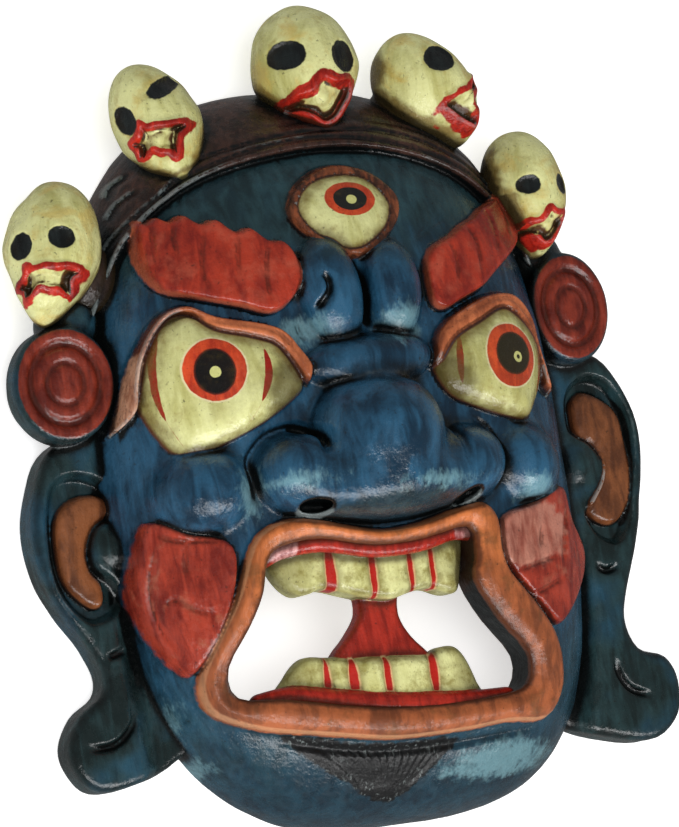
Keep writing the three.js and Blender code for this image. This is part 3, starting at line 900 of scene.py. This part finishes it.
def tooth_row(outline, front, gaps, span, swells):
    """A row of teeth in one block, bowed back at the sides; swells are places, widths and rises."""

    def distance(p):
        side = -inside_distance(p[:, :2], outline)
        top = front - 0.0042 * (p[:, 0] + 4) ** 2
        for x, width, rise in swells:
            top = top + rise * np.exp(-(((p[:, 0] - x) / width) ** 2))
        top = top - 1.1 * ease((gap_distance(p, gaps, span) + 1.6) / 1.8)
        face = smooth_high(side, p[:, 2] - top - 0.25 * wobble(p, 6.0, 4.4), 5.0)
        return smooth_high(face, 40 - p[:, 2], 1.0)

    return np.array([*outline.min(0), 38.0]), np.array([*outline.max(0), 62.0]), distance


def tooth_rows():
    c = Carving()
    c.join(tooth_row(UPPER_TEETH, 57, UPPER_GAPS, UPPER_SPAN, ((-39, 6, 2.2), (27, 5, 1.6), (-16, 7, 0.6),
        (1, 6, 0.6), (14, 4, 0.6))))
    c.join(tooth_row(LOWER_TEETH, 52, LOWER_GAPS, LOWER_SPAN, ((-38, 6, 1.2), (25, 7, 1.8), (5, 6, 0.6),
        (-12, 5, 0.6))))
    return c


def soft_parts():
    c = Carving()
    c.join(rod(UPPER_GUM, 3.6))
    c.join(rod(LOWER_GUM, 4.6))
    c.join(slab(TONGUE, 38, 48.5, 3.5))
    return c


TOOTH_ROWS, SOFT_PARTS = tooth_rows(), soft_parts()


def mouth_solid():
    c = Carving()
    c.join(TOOTH_ROWS.shape())
    c.join(SOFT_PARTS.shape(), 0.8)
    return c


HEAD, EARS, SKULL_ROW, TEETH = head_solid(), ears_solid(), skulls_solid(), mouth_solid()


def whole(p):
    """Distance to the mask as one solid."""
    fields = [part.value(p) for part in (HEAD, EARS, SKULL_ROW, TEETH)]
    return np.min(fields, axis=0)


# Paint: signed distances of the painted areas and measures of the carving, kept on the mesh


def store(piece, marks):
    for name, values in marks.items():
        layer = piece.data.attributes.new(name, "FLOAT", "POINT")
        layer.data.foreach_set("value", np.clip(values, -9, 9).astype(np.float32))


def hollowness(p, normal):
    """How deep each point lies in a crease at three sizes, and how sharp an edge it is on."""
    small = 1 - whole(p + normal * 1.3) / 1.3
    middle = 1 - whole(p + normal * 3.6) / 3.6
    wide = 1 - whole(p + normal * 9.0) / 9.0
    sharp = 1 + whole(p - normal * 1.8) / 1.8
    return {"nick": small, "crease": middle, "shelter": wide, "edge": sharp}


def head_marks(p, normal):
    flat = p[:, :2]
    base, middle, side = plates(p), MIDDLE_BULGES.value(p), CHEEKS.value(p)
    over = np.minimum(middle, side)
    show = np.clip(over - base, -6, 6)

    def inside(*outlines):
        return np.max([inside_distance(flat, outline) for outline in outlines], axis=0)

    lids = inside(LEFT_LID, RIGHT_LID)
    eyes = np.minimum(inside(LEFT_EYE, RIGHT_EYE), -lids)
    third = inside(THIRD_EYE)
    back = -np.minimum(base, over)
    marks = hollowness(p, normal)
    marks.update(
        {
            "bulge": -show,
            "hair": np.minimum(inside(HAIR), show + 2),
            "brow": np.minimum(inside(LEFT_BROW, RIGHT_BROW), show + 1),
            "patch": np.minimum(inside(LEFT_PATCH, RIGHT_PATCH), show),
            "lip": np.minimum(inside(LIP), show),
            "lid": np.minimum(np.maximum(lids, np.minimum(inside(THIRD_RIM), -third)), show + 1),
            "eye": np.minimum(np.maximum(eyes, third), show),
            "beard": inside(BEARD),
            "inner": back - 3.0,
            "nostril": 1.3 - np.minimum(NOSTRILS[0][2](p), NOSTRILS[1][2](p)),
            "hollow": 2.0 - np.abs(face_distance(p, *HOLLOW)),
            "mouth": inside(MOUTH),
        }
    )
    return marks


def ear_marks(p, normal):
    flat = p[:, :2]
    marks = hollowness(p, normal)
    concha = np.maximum(inside_distance(flat, LEFT_CONCHA), inside_distance(flat, RIGHT_CONCHA))
    disc = np.full(len(p), -6.0)
    ring = np.full(len(p), 2.0)
    for at, half, turn in ROUNDELS:
        share, above = roundel_place(p, at, half, turn)
        near = share < 1.3
        value = np.minimum((0.93 - share) * half[0], above + 5)
        disc = np.where(near, value, disc)
        ring = np.where(near, share, ring)
    marks.update({"concha": np.minimum(concha, p[:, 2] - 9), "disc": disc, "ring": ring * 4})
    return marks


def skull_marks(p, normal):
    marks = hollowness(p, normal)
    names = ("socket", "grin", "throat", "neck")
    found = {name: np.full(len(p), -6.0) for name in names}
    nearest = np.full(len(p), 1e9)
    for skull in SKULLS:
        q = skull_place(p, skull)
        half = skull["half"]
        gap = np.sqrt(((q / half) ** 2).sum(1))
        own = gap < nearest
        nearest = np.minimum(nearest, gap)
        flat = q[:, :2]
        mouth = skull_mouth(skull)
        edge, _ = line_distance(flat, np.vstack([mouth, mouth[:1]]))
        front = q[:, 2] - 2
        neck = skull_shape(skull)[2](p) - skull_neck(skull)[2](p)
        values = {
            "socket": np.minimum(skull_sockets(flat, skull), front),
            "grin": np.minimum(skull["mouth"][4] - edge + 1.1 * wobble(p, 4.0, 6.6), front),
            "throat": np.minimum(inside_distance(flat, mouth), front),
            "neck": neck + 0.3,
        }
        for name in names:
            found[name] = np.where(own, values[name], found[name])
    marks.update(found)
    return marks


def tooth_marks(p, normal):
    marks = hollowness(p, normal)
    tooth = SOFT_PARTS.value(p) - TOOTH_ROWS.value(p)
    upper = gap_distance(p, UPPER_GAPS, UPPER_SPAN)
    lower = gap_distance(p, LOWER_GAPS, LOWER_SPAN)
    gaps = np.where(p[:, 1] > -85, upper, lower)
    marks.update({"tooth": tooth, "gap": np.minimum(gaps, np.minimum(p[:, 2] - 44, tooth))})
    marks["tongue"] = np.minimum(inside_distance(p[:, :2], TONGUE), -tooth)
    marks["corner"] = np.minimum(4 - np.abs(p[:, 1] + 53), np.abs(p[:, 0] + 6) - 33)
    return marks


# Paints; a plain tuple of three is a paint colour on the usual 0 to 255 scale


def tone(*parts):
    """A paint colour as the shader takes it."""
    shares = [part / 255 for part in parts]
    return (*(s / 12.92 if s <= 0.04045 else ((s + 0.055) / 1.055) ** 2.4 for s in shares), 1.0)


class Wire:
    """A value inside a material; sums done on it become nodes."""

    def __init__(self, paint, socket):
        self.paint, self.socket = paint, socket

    def __add__(self, other):
        return self.paint.math("ADD", self, other)

    def __sub__(self, other):
        return self.paint.math("SUBTRACT", self, other)

    def __rsub__(self, other):
        return self.paint.math("SUBTRACT", other, self)

    def __mul__(self, other):
        return self.paint.math("MULTIPLY", self, other)

    def __truediv__(self, other):
        return self.paint.math("DIVIDE", self, other)

    def __pow__(self, other):
        return self.paint.math("POWER", self, other)

    def __abs__(self):
        return self.paint.math("ABSOLUTE", self)


class Paint:
    """A material built up in coats, each laid over the last where its mark is above zero."""

    def __init__(self, name):
        self.material = bpy.data.materials.new(name)
        self.material.use_nodes = True
        self.tree = self.material.node_tree
        self.shader = self.tree.nodes["Principled BSDF"]
        self.place = Wire(self, self.tree.nodes.new("ShaderNodeTexCoord").outputs["Object"])
        flat = self.node("SeparateXYZ", self.place)
        self.x = Wire(self, flat.outputs[0]) * 1000
        self.y = Wire(self, flat.outputs[1]) * 1000

    def link(self, source, target):
        if isinstance(source, Wire):
            self.tree.links.new(source.socket, target)
        elif target.type == "RGBA":
            target.default_value = tone(*source)
        else:
            target.default_value = source

    def node(self, kind, *values, **named):
        """A new node, with its first inputs and its named ones set or linked."""
        node = self.tree.nodes.new("ShaderNode" + kind)
        for value, socket in zip(values, node.inputs):
            self.link(value, socket)
        for name, value in named.items():
            self.link(value, node.inputs[name])
        return node

    def math(self, operation, *values):
        node = self.node("Math", *values)
        node.operation = operation
        return Wire(self, node.outputs[0])

    def most(self, first, *others):
        for other in others:
            first = self.math("MAXIMUM", first, other)
        return first

    def mark(self, name):
        node = self.node("Attribute")
        node.attribute_name = name
        return Wire(self, node.outputs["Fac"])

    def step(self, value, low, high, first=0.0, last=1.0):
        """A soft step from first, at low, to last, at high."""
        node = self.node("MapRange", value, low, high, first, last)
        node.interpolation_type = "SMOOTHSTEP"
        return Wire(self, node.outputs[0])

    def noise(self, size, detail=3.0, rough=0.55, warp=0.0, place=None):
        """Grain with grains of a size in millimetres, from about 0 to 1."""
        named = {"Scale": 1000.0 / size, "Detail": detail, "Roughness": rough, "Distortion": warp}
        return Wire(self, self.node("TexNoise", Vector=place or self.place, **named).outputs["Fac"])

    def wander(self, reach, size, detail=4):
        """Grain between minus and plus a reach."""
        return (self.noise(size, detail) - 0.5) * (2 * reach)

    def drawn_out(self, height, turn):
        """Places squeezed along y, so that grain becomes streaks, turned in degrees."""
        turned = (0, 0, math.radians(turn))
        node = self.node("Mapping", Vector=self.place, Rotation=turned, Scale=(1, height, 1))
        return Wire(self, node.outputs[0])

    def mix(self, share, under, over):
        node = self.node("Mix")
        node.data_type = "RGBA"
        for number, value in ((0, share), (6, under), (7, over)):
            self.link(value, node.inputs[number])
        return Wire(self, node.outputs[2])

    def ragged(self, mark, sway=0.7, soft=0.25, strength=1.0):
        """A painted area's cover, with a hand-drawn edge."""
        return self.step(mark + self.wander(sway, 3.0, 3), -soft, soft, 0.0, strength)

    def coat(self, under, mark, over, sway=0.7, soft=0.25, strength=1.0):
        return self.mix(self.ragged(mark, sway, soft, strength), under, over)

    def brushed(self, dark, light, size=3.0, turn=20, push=0.0):
        """Two tones of one paint in brush streaks."""
        streaks = self.noise(size, 4, 0.6, 0.6, self.drawn_out(0.22, turn))
        both = streaks * 0.6 + self.noise(size * 5, 3, 0.6) * 0.5
        return self.mix(self.step(both, 0.42 - push, 0.68 - push), dark, light)

    def oval(self, at, half):
        """Above zero inside an oval on the flat, as a distance in millimetres."""
        across = (self.x - (at[0] - MIDDLE[0])) / half[0]
        along = (self.y - (at[1] - MIDDLE[1])) / half[1]
        return (1.0 - (across**2.0 + along**2.0) ** 0.5) * min(half)

    def stroke(self, a, b, bow, half):
        """Above zero inside a bowed brush stroke from a to b, thin at its ends."""
        a, b = np.array(a, float), np.array(b, float)
        length = np.hypot(*(b - a))
        east, north = (b - a) / length
        x, y = self.x - (a[0] - MIDDLE[0]), self.y - (a[1] - MIDDLE[1])
        share = x * (east / length) + y * (north / length)
        arch = share * (1.0 - share) * 4.0
        gap = abs(y * east - x * north - arch * bow)
        return self.most(arch, 0.0) ** 0.6 * half - gap

    def aged_and_shaded(self, colour, crease_wash_and_shade, edge, grime_and_shade, warm=None):
        """Dark wash in the creases, which is also painted shade, deepest in deep and sheltered creases;
        specks of dirt; and pale wear along the edges, which is also a painted edge highlight.
        """
        dirt = self.noise(2.2, 4, 0.7)
        # Painted shade together with the dark wash: darker the deeper and more sheltered the crease
        depth = self.mark("nick") * 0.26 + self.mark("crease") * 0.85 + self.mark("shelter") * 0.42
        uneven = (dirt + self.noise(14, 3, 0.6)) * 0.45 - 0.42
        wash_and_shade_cover = self.step(depth + uneven, 0.06, 0.95, 0.0, crease_wash_and_shade)
        if warm is not None:
            grime_and_shade = self.mix(warm, grime_and_shade, (46, 22, 12))
            wash_and_shade_cover = wash_and_shade_cover * (warm * -0.3 + 1.0)
        colour = self.mix(wash_and_shade_cover, colour, grime_and_shade)
        # Pale wear along the edges, also a painted edge highlight
        wear_and_highlight = self.step(self.mark("edge") + dirt * 0.5 - 0.25, 0.4, 0.9, 0.0, 0.55 * edge)
        colour = self.mix(wear_and_highlight, colour, (190, 205, 205))
        speck = self.step(self.noise(1.6, 2, 0.5), 0.69, 0.74, 0.0, 0.55)
        return self.mix(speck, colour, (24, 22, 18))

    def varnish(self, colour, rough=0.27, coat=0.45, bump=0.75, bare=None):
        """The colour under a thin brushed varnish, rubbed off where bare is above zero."""
        gloss = self.step(self.noise(4, 4, 0.65), 0.3, 0.75, rough - 0.10, rough + 0.16)
        if bare is not None:
            gloss = gloss + bare * 0.3
            coat = (1.0 - bare) * coat
        strokes = self.noise(1.3, 4, 0.65, 0.4, self.drawn_out(0.28, 15))
        height = strokes * 0.45 + self.noise(4.5, 4, 0.62)
        bumps = Wire(self, self.node("Bump", Strength=bump, Distance=0.0006, Height=height).outputs[0])
        for name, value in {
            "Base Color": colour,
            "Roughness": gloss,
            "Coat Weight": coat,
            "Coat Roughness": 0.10,
            "IOR": 1.5,
            "Specular IOR Level": 0.32,
            "Normal": bumps,
            "Coat Normal": bumps,
        }.items():
            self.link(value, self.shader.inputs[name])
        return self.material


def cream_body(p):
    """Old cream paint with ochre stains and flecks."""
    cream = p.brushed((172, 168, 98), (216, 216, 152), 9, 40, 0.04)
    cream = p.mix(p.step(p.noise(8, 5, 0.7), 0.54, 0.74, 0.0, 0.55), cream, (146, 124, 50))
    return p.mix(p.step(p.noise(2.4, 3, 0.6), 0.64, 0.72, 0.0, 0.4), cream, (92, 82, 38))


# The two eyes: iris and its half axes, pupil and its half axes, and the dot in it
EYES = (
    ((-64, 18.4), (11.6, 12.3), (-64.2, 17.6), (7.0, 8.4), (-64.2, 17.4)),
    ((61.8, 12.4), (12.2, 12.8), (62.8, 13.0), (8.0, 8.0), (64.8, 11.4)),
)
# Red strokes on the whites: both ends, the bow and the half width
EYE_STROKES = (
    ((-79, 37), (-82, 2), -3.6, 1.0),
    ((-44, 24), (-48, 4), 1.6, 1.5),
    ((39.5, 22), (37.5, 3), -1.2, 1.4),
    ((79, 17), (75, -3), 1.5, 1.2),
)


def eye_colours(p, colour):
    """Irises, pupils and brush strokes on the whites of the three eyes."""

    def spot(at, half, paint, sway, soft=0.15, grow=0.0):
        return p.coat(colour, p.oval(at, (half[0] + grow, half[1] + grow)), paint, sway, soft)

    for at, iris, middle, pupil, dot in EYES:
        colour = spot(at, iris, (220, 208, 160), 0.3, 0.3, grow=0.7)
        colour = spot(at, iris, p.brushed((168, 48, 26), (216, 78, 40)), 0.3)
        colour = spot(middle, pupil, (64, 24, 18), 0.25, 0.3, grow=0.7)
        colour = spot(middle, pupil, (12, 14, 14), 0.25)
        colour = spot(dot, (2.1, 2.2), (208, 208, 132), 0.4)
    colour = spot((65, 11.4), (0.8, 0.9), (28, 30, 24), 0.1)
    colour = spot((4.6, 81), (10.8, 7.2), p.brushed((168, 52, 28), (204, 78, 40)), 0.2)
    colour = spot((4.6, 81), (7.2, 4.9), (26, 28, 26), 0.2)
    colour = spot((5, 80.6), (2.2, 1.9), (200, 200, 126), 0.2)
    for stroke in EYE_STROKES:
        colour = p.coat(colour, p.stroke(*stroke), (150, 28, 18), 0.25, 0.15)
    return colour


def white_colours(p):
    """The whites: clean in the middle, browned along the rims and in the inner corners, as stain and
    painted shade both.
    """
    whites = eye_colours(p, cream_body(p))
    shade = p.step(p.mark("eye") + p.noise(5, 4) * -9.0, -4.6, 1.4, 0.75, 0.0)
    whites = p.mix(shade, whites, (112, 92, 38))
    # Brown stain and painted shade in the inner corners
    for corner in ((-31, 8), (29, 4)):
        near = p.oval(corner, (19, 16)) + p.wander(5, 6)
        whites = p.mix(p.step(near, -1.0, 8.0, 0.0, 0.8), whites, (66, 54, 24))
    older = p.step(p.oval((60, 12), (46, 40)), 2.0, 14.0, 0.0, 0.15)
    whites = p.mix(older, whites, (96, 84, 40))
    return p.mix(p.step(p.mark("eye"), 0.2, 1.0), (88, 50, 28), whites)


def lip_colours(p, height):
    """Copper above, browner at the sides and below, darker brown along the opening as glaze and painted
    shade both, and a painted highlight along the outer rim.
    """
    above = p.brushed((150, 82, 42), (200, 114, 62), 5, 82, 0.02)
    below = p.brushed((108, 58, 34), (164, 90, 52), 5, 82)
    lips = p.mix(p.step(height, -88, -55), below, above)
    lips = p.mix(p.step(p.noise(9, 4, 0.65), 0.52, 0.72, 0.0, 0.55), lips, (96, 66, 36))
    # Darker brown along the mouth's opening: glaze and painted shade
    lips = p.coat(lips, p.mark("mouth") + 1.7, (62, 34, 22), 1.2, 0.9, 0.75)
    # Painted highlight: a pale line just inside the lip's outer rim
    return p.mix(p.step(abs(p.mark("lip") - 1.0), 0.3, 0.9, 0.4, 0.0), lips, (214, 160, 116))


def lid_colours(p):
    """Copper lids with darker edges, a worn pinkish flat at the left and a brown ring on the brow."""
    copper = p.brushed((140, 72, 42), (196, 112, 70), 4, 30)
    lids = p.mix(p.step(p.mark("lid"), 0.2, 1.6), (84, 42, 24), copper)
    worn = p.brushed((146, 92, 66), (204, 156, 126), 3, 60)
    worn = p.mix(p.step(p.noise(2.0, 3, 0.6), 0.58, 0.66, 0.0, 0.6), worn, (84, 50, 38))
    lids = p.coat(lids, p.oval((-90.5, 14), (7.5, 18)), worn, 1.4, 0.8)
    return p.coat(lids, p.oval((3, 77), (32, 27)), p.brushed((58, 34, 24), (140, 76, 46), 3, 0), 0.2, 0.3)


# Places given a pale blue painted sheen, brushed nearly dry: the middle, the half axes and the strength
PAINTED_SHEEN_PATCHES = (
    ((-85, -117), (5, 13), 0.45),
    ((-76, -133), (7, 6), 0.4),
    ((46, -145), (30, 8), 0.5),
    ((-23, 30), (12, 7), 0.6),
    ((16, 29), (11, 8), 0.6),
    ((-42, -28.5), (15, 3.6), 0.65),
    ((16, -35), (18, 3.6), 0.6),
    ((66, -41), (10, 6), 0.6),
    ((-56, -30), (6, 12), 0.5),
)


def painted_sheen_over(p, colour):
    """A pale blue painted sheen, brushed nearly dry over the low sides of the bulges and the rim of the
    chin.
    """
    drag = p.noise(1.6, 4, 0.65, 0.5, p.drawn_out(0.35, 70))
    uneven = (drag + p.noise(6, 3) - 1.0) * 9.0
    sheen_covers = [p.step(p.oval(at, half) + uneven, -1.0, 4.5, 0.0, most) for at, half, most in PAINTED_SHEEN_PATCHES]
    return p.mix(p.most(0.0, *sheen_covers), colour, (122, 164, 172))


def skin_colours(p, height):
    """Blue, clear on the bulges and dull on the flats, dark on the chin, with painted shade under the nose
    and a painted sheen on the low sides of the bulges.
    """
    dull = p.brushed((24, 42, 44), (44, 72, 76), 6, 8)
    clear = p.brushed((14, 40, 58), (40, 84, 112), 7, 25)
    lively = p.step(height, -118, -70, 0.45, 1.0) * p.step(height, 45, 75, 1.0, 0.1)
    skin = p.mix(lively, dull, clear)
    skin = p.mix(p.step(height, -152, -116, 0.85, 0.0), skin, p.brushed((12, 26, 36), (24, 50, 62), 5, 70))
    # Painted shade under the nose's lower roll
    under = p.oval((0, -46), (48, 10)) + p.wander(3, 6)
    under = p.step(under, -1.0, 3.5, 0.0, 0.85) * p.step(p.mark("bulge"), -0.5, 0.5)
    return painted_sheen_over(p, p.mix(under, skin, p.brushed((22, 34, 36), (40, 56, 58), 5, 10)))


def patch_colours(p):
    """The cheek patches: worn red, paler on the upper half of the one to the right."""
    red = p.brushed((104, 28, 20), (160, 58, 40), 4, -10)
    patch = p.mix(p.step(p.noise(9, 4, 0.6), 0.54, 0.74, 0.0, 0.7), red, (158, 92, 70))
    pale = p.step(p.oval((60, -58), (22, 14)) + p.wander(6, 5), -1.0, 2.5, 0.0, 0.7)
    return p.mix(pale, patch, p.brushed((132, 76, 62), (190, 134, 114), 4, 20))


def brow_colours(p):
    brow = p.brushed((118, 30, 22), (168, 54, 34), 5, -20)
    brow = p.mix(p.step(p.noise(12, 4, 0.6), 0.5, 0.72, 0.0, 0.5), brow, (182, 88, 66))
    # Paler paint along the rim, also a painted edge highlight
    pale_rim_and_highlight = p.step(p.mark("brow") + p.noise(4) * 1.4, 1.1, 2.3, 0.6, 0.0)
    return p.mix(pale_rim_and_highlight, brow, (176, 100, 70))


def beard_colours(p):
    hairs = p.noise(1.5, 4, 0.65, 0.3, p.drawn_out(0.12, 4))
    tips = p.mix(p.step(p.mark("beard"), 0.5, 8.0), (112, 120, 118), (66, 70, 70))
    return p.mix(p.step(hairs, 0.57, 0.70, 0.0, 0.8), (7, 7, 8), tips)


def head_paint():
    p = Paint("painted_face")
    height = p.y + p.wander(15, 22, 3)
    colour = skin_colours(p, height)
    for name, paint, sway, soft in (
        ("beard", beard_colours(p), 2.2, 0.6),
        ("hair", p.brushed((34, 22, 18), (70, 46, 38), 4, 80), 0.5, 0.25),
        ("patch", patch_colours(p), 0.5, 0.25),
        ("brow", brow_colours(p), 0.4, 0.25),
        ("lip", lip_colours(p, height), 0.5, 0.25),
        ("lid", lid_colours(p), 0.4, 0.25),
        ("eye", white_colours(p), 0.25, 0.25),
        ("nostril", (8, 9, 10), 0.3, 0.4),
        ("inner", p.brushed((4, 6, 6), (18, 24, 24), 3, 0), 0.8, 0.5),
    ):
        colour = p.coat(colour, p.mark(name), paint, sway, soft)
    wood = p.brushed((58, 40, 26), (104, 74, 48), 5, 0)
    colour = p.mix(p.step(p.mark("hollow") + p.noise(8), 0.6, 1.4), colour, wood)
    warm = p.step(p.most(*(p.mark(name) for name in ("brow", "patch", "lip", "lid", "eye"))), -0.4, 0.6)
    bare = p.most(p.ragged(p.mark("beard"), 1.0, 0.8, 0.7), p.ragged(p.mark("lip"), 1.0, 0.8, 0.5))
    return p.varnish(p.aged_and_shaded(colour, 1.0, 0.4, (9, 13, 14), warm), bare=bare)


def ear_paint():
    p = Paint("painted_ears")
    dark = p.brushed((16, 28, 28), (36, 58, 60), 6, 8)
    blue = p.brushed((16, 42, 56), (34, 72, 90), 7, 25)
    colour = p.mix(p.step(p.noise(30, 3), 0.46, 0.70), dark, blue)
    colour = p.coat(colour, p.mark("concha"), p.brushed((78, 44, 26), (128, 76, 44), 5, 10), 0.4)
    disc = p.brushed((84, 26, 18), (132, 50, 34), 4, 35)
    ring = p.mark("ring") + p.wander(0.15, 4, 3)
    # Dark rings in the roundel's grooves: painted shade
    for dip in ROUNDEL_DIPS:
        disc = p.mix(p.step(abs(ring - 4 * dip[0]), 0.05, 0.28, 0.55, 0.0), disc, (46, 14, 10))
    colour = p.coat(colour, p.mark("disc"), disc, 0.4)
    warm = p.step(p.most(p.mark("concha"), p.mark("disc")), -0.4, 0.6)
    return p.varnish(p.aged_and_shaded(colour, 1.05, 0.5, (7, 10, 10), warm))


def skull_paint():
    p = Paint("painted_skulls")
    colour = cream_body(p)
    colour = p.mix(p.step(p.noise(16, 4, 0.65, 0.5), 0.48, 0.66, 0.0, 0.6), colour, (196, 168, 84))
    # Brown grime and painted shade where the skull is sheltered
    sheltered_grime_and_shade = p.step(p.mark("shelter") + p.wander(0.45, 6), 0.12, 0.7, 0.0, 0.8)
    colour = p.mix(sheltered_grime_and_shade, colour, (110, 84, 34))
    # Painted shade in the creases of the mouth
    throat = p.mix(p.step(p.mark("crease") + p.noise(5), 0.55, 0.95), colour, (84, 52, 22))
    for name, paint, sway in (
        ("throat", throat, 0.3),
        ("grin", p.brushed((128, 22, 14), (192, 44, 28), 3, 15), 0.7),
        ("socket", p.brushed((10, 12, 12), (26, 32, 32), 3, 15), 0.6),
        ("neck", p.brushed((30, 24, 22), (52, 40, 34), 4, 80), 0.4),
    ):
        colour = p.coat(colour, p.mark(name), paint, sway)
    return p.varnish(p.aged_and_shaded(colour, 0.9, 0.3, (34, 26, 14)), 0.3, 0.35, 1.0)


def tooth_paint():
    p = Paint("painted_teeth")
    gums = p.brushed((128, 26, 18), (178, 44, 30), 3, 15)
    gums = p.coat(gums, p.mark("corner"), p.brushed((132, 66, 66), (206, 150, 146), 2.2, 0), 1.5, 0.6)
    gums = p.coat(gums, p.mark("tongue"), p.brushed((116, 26, 18), (168, 46, 32), 5, 10), 0.4)
    gap = p.mark("gap")
    bone = cream_body(p)
    bone = p.mix(p.step(p.noise(6, 4, 0.7), 0.44, 0.70, 0.0, 0.75), bone, (130, 120, 52))
    # Olive stain and painted shade on the teeth towards both ends of the rows
    row_end_stain_and_shade = p.oval((-6, -85), (34, 60)) + p.wander(5, 5)
    bone = p.mix(p.step(row_end_stain_and_shade, -4.0, 9.0, 0.55, 0.0), bone, (104, 92, 40))
    # Brown stain and painted shade beside the red lines between the teeth
    bone = p.mix(p.step(gap + p.wander(2, 4), -4.0, 0.0, 0.0, 0.5), bone, (104, 88, 38))
    colour = p.coat(gums, p.mark("tooth"), bone, 0.4)
    colour = p.coat(colour, gap + 0.6, (206, 170, 120), 0.3, 0.3)
    colour = p.coat(colour, gap, (168, 30, 20), 0.35, 0.2)
    return p.varnish(p.aged_and_shaded(colour, 0.75, 0.3, (40, 24, 12)), 0.3, 0.35)


# The pieces


# Each piece: its solid, its marks, its paint, its room's two corners, its grid step and most triangles
PIECES = {
    "face": (HEAD, head_marks, head_paint, (-112, -172, 0), (115, 140, 97), 0.95, 190000),
    "ears": (EARS, ear_marks, ear_paint, (-136, -152, 0), (146, 76, 36), 0.95, 190000),
    "skulls": (SKULL_ROW, skull_marks, skull_paint, (-140, 40, 0), (125, 172, 58), 0.8, 190000),
    "teeth": (TEETH, tooth_marks, tooth_paint, (-66, -130, 0), (56, -42, 68), 0.7, 150000),
}


def carve_mask():
    for name, (solid, marks, paint, low, high, step, most) in PIECES.items():
        piece, p, normal = build(name, solid.value, low, high, step, most)
        store(piece, marks(p, normal))
        piece.data.materials.append(paint())
        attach(piece, "root")
        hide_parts("mask")


# Floor, light and camera


def lay_floor():
    bpy.ops.mesh.primitive_plane_add(size=8, location=(0, 0, -0.0002))
    floor = bpy.context.object
    floor.name = "floor"
    material = bpy.data.materials.new("pale_floor")
    material.use_nodes = True
    shader = material.node_tree.nodes["Principled BSDF"]
    shader.inputs["Base Color"].default_value = (0.85, 0.85, 0.85, 1)
    shader.inputs["Roughness"].default_value = 0.9
    shader.inputs["Emission Color"].default_value = (1, 1, 1, 1)
    shader.inputs["Emission Strength"].default_value = 0.6
    floor.data.materials.append(material)
    # A white floor mirrored in the varnish would veil the dark paint
    floor.visible_glossy = False


# What the lamps and the camera point at, in metres
FOCUS = Vector((-0.00413, -0.00045, 0.030))


def soft_light(name, place, size, power, mirrored=True):
    """A rectangular lamp aimed at the mask; unless mirrored, the varnish doesn't show it."""
    data = bpy.data.lights.new(name, "AREA")
    data.shape = "RECTANGLE"
    data.size, data.size_y = size
    data.energy = power
    lamp = bpy.data.objects.new(name, data)
    lamp.visible_glossy = mirrored
    bpy.context.scene.collection.objects.link(lamp)
    lamp.location = place
    away = Vector(place) - Vector((0, 0, FOCUS.z))
    lamp.rotation_euler = away.to_track_quat("Z", "Y").to_euler()


def light_studio():
    world = bpy.data.worlds.new("studio")
    bpy.context.scene.world = world
    world.use_nodes = True
    sky = world.node_tree.nodes["Background"]
    sky.inputs["Color"].default_value = (1, 1, 1, 1)
    sky.inputs["Strength"].default_value = 0.17
    soft_light("overhead", (-0.2, -0.1, 1.5), (1.0, 1.0), 14, mirrored=False)
    soft_light("chin_side", (-0.15, -0.92, 0.64), (1.6, 0.3), 12)
    bpy.context.scene.view_settings.view_transform = "Standard"


def place_camera():
    """Looks down on the lying mask from 24 degrees to its side and 5.5 below, turned by 8.5."""
    az, el, roll = (math.radians(a) for a in (24, -5.5, 8.5))
    focal, photo_height = 3765, 827
    toward = Vector((-math.sin(az) * math.cos(el), math.sin(el), math.cos(az) * math.cos(el)))
    north = Vector((0, 1, 0))
    up = (north - toward * north.dot(toward)).normalized()
    side = up.cross(toward)
    turned = (up * math.cos(roll) + side * math.sin(roll)).normalized()
    right = turned.cross(toward)
    data = bpy.data.cameras.new("camera")
    data.sensor_width = 36
    data.lens = data.sensor_width * focal / photo_height
    camera = bpy.data.objects.new("camera", data)
    bpy.context.scene.collection.objects.link(camera)
    place = Matrix((right, turned, toward)).transposed().to_4x4()
    place.translation = FOCUS + toward * 1.5
    camera.matrix_world = place
    data.clip_start = 0.1
    data.clip_end = 20
    bpy.context.scene.camera = camera


carve_mask()
lay_floor()
light_studio()
place_camera()
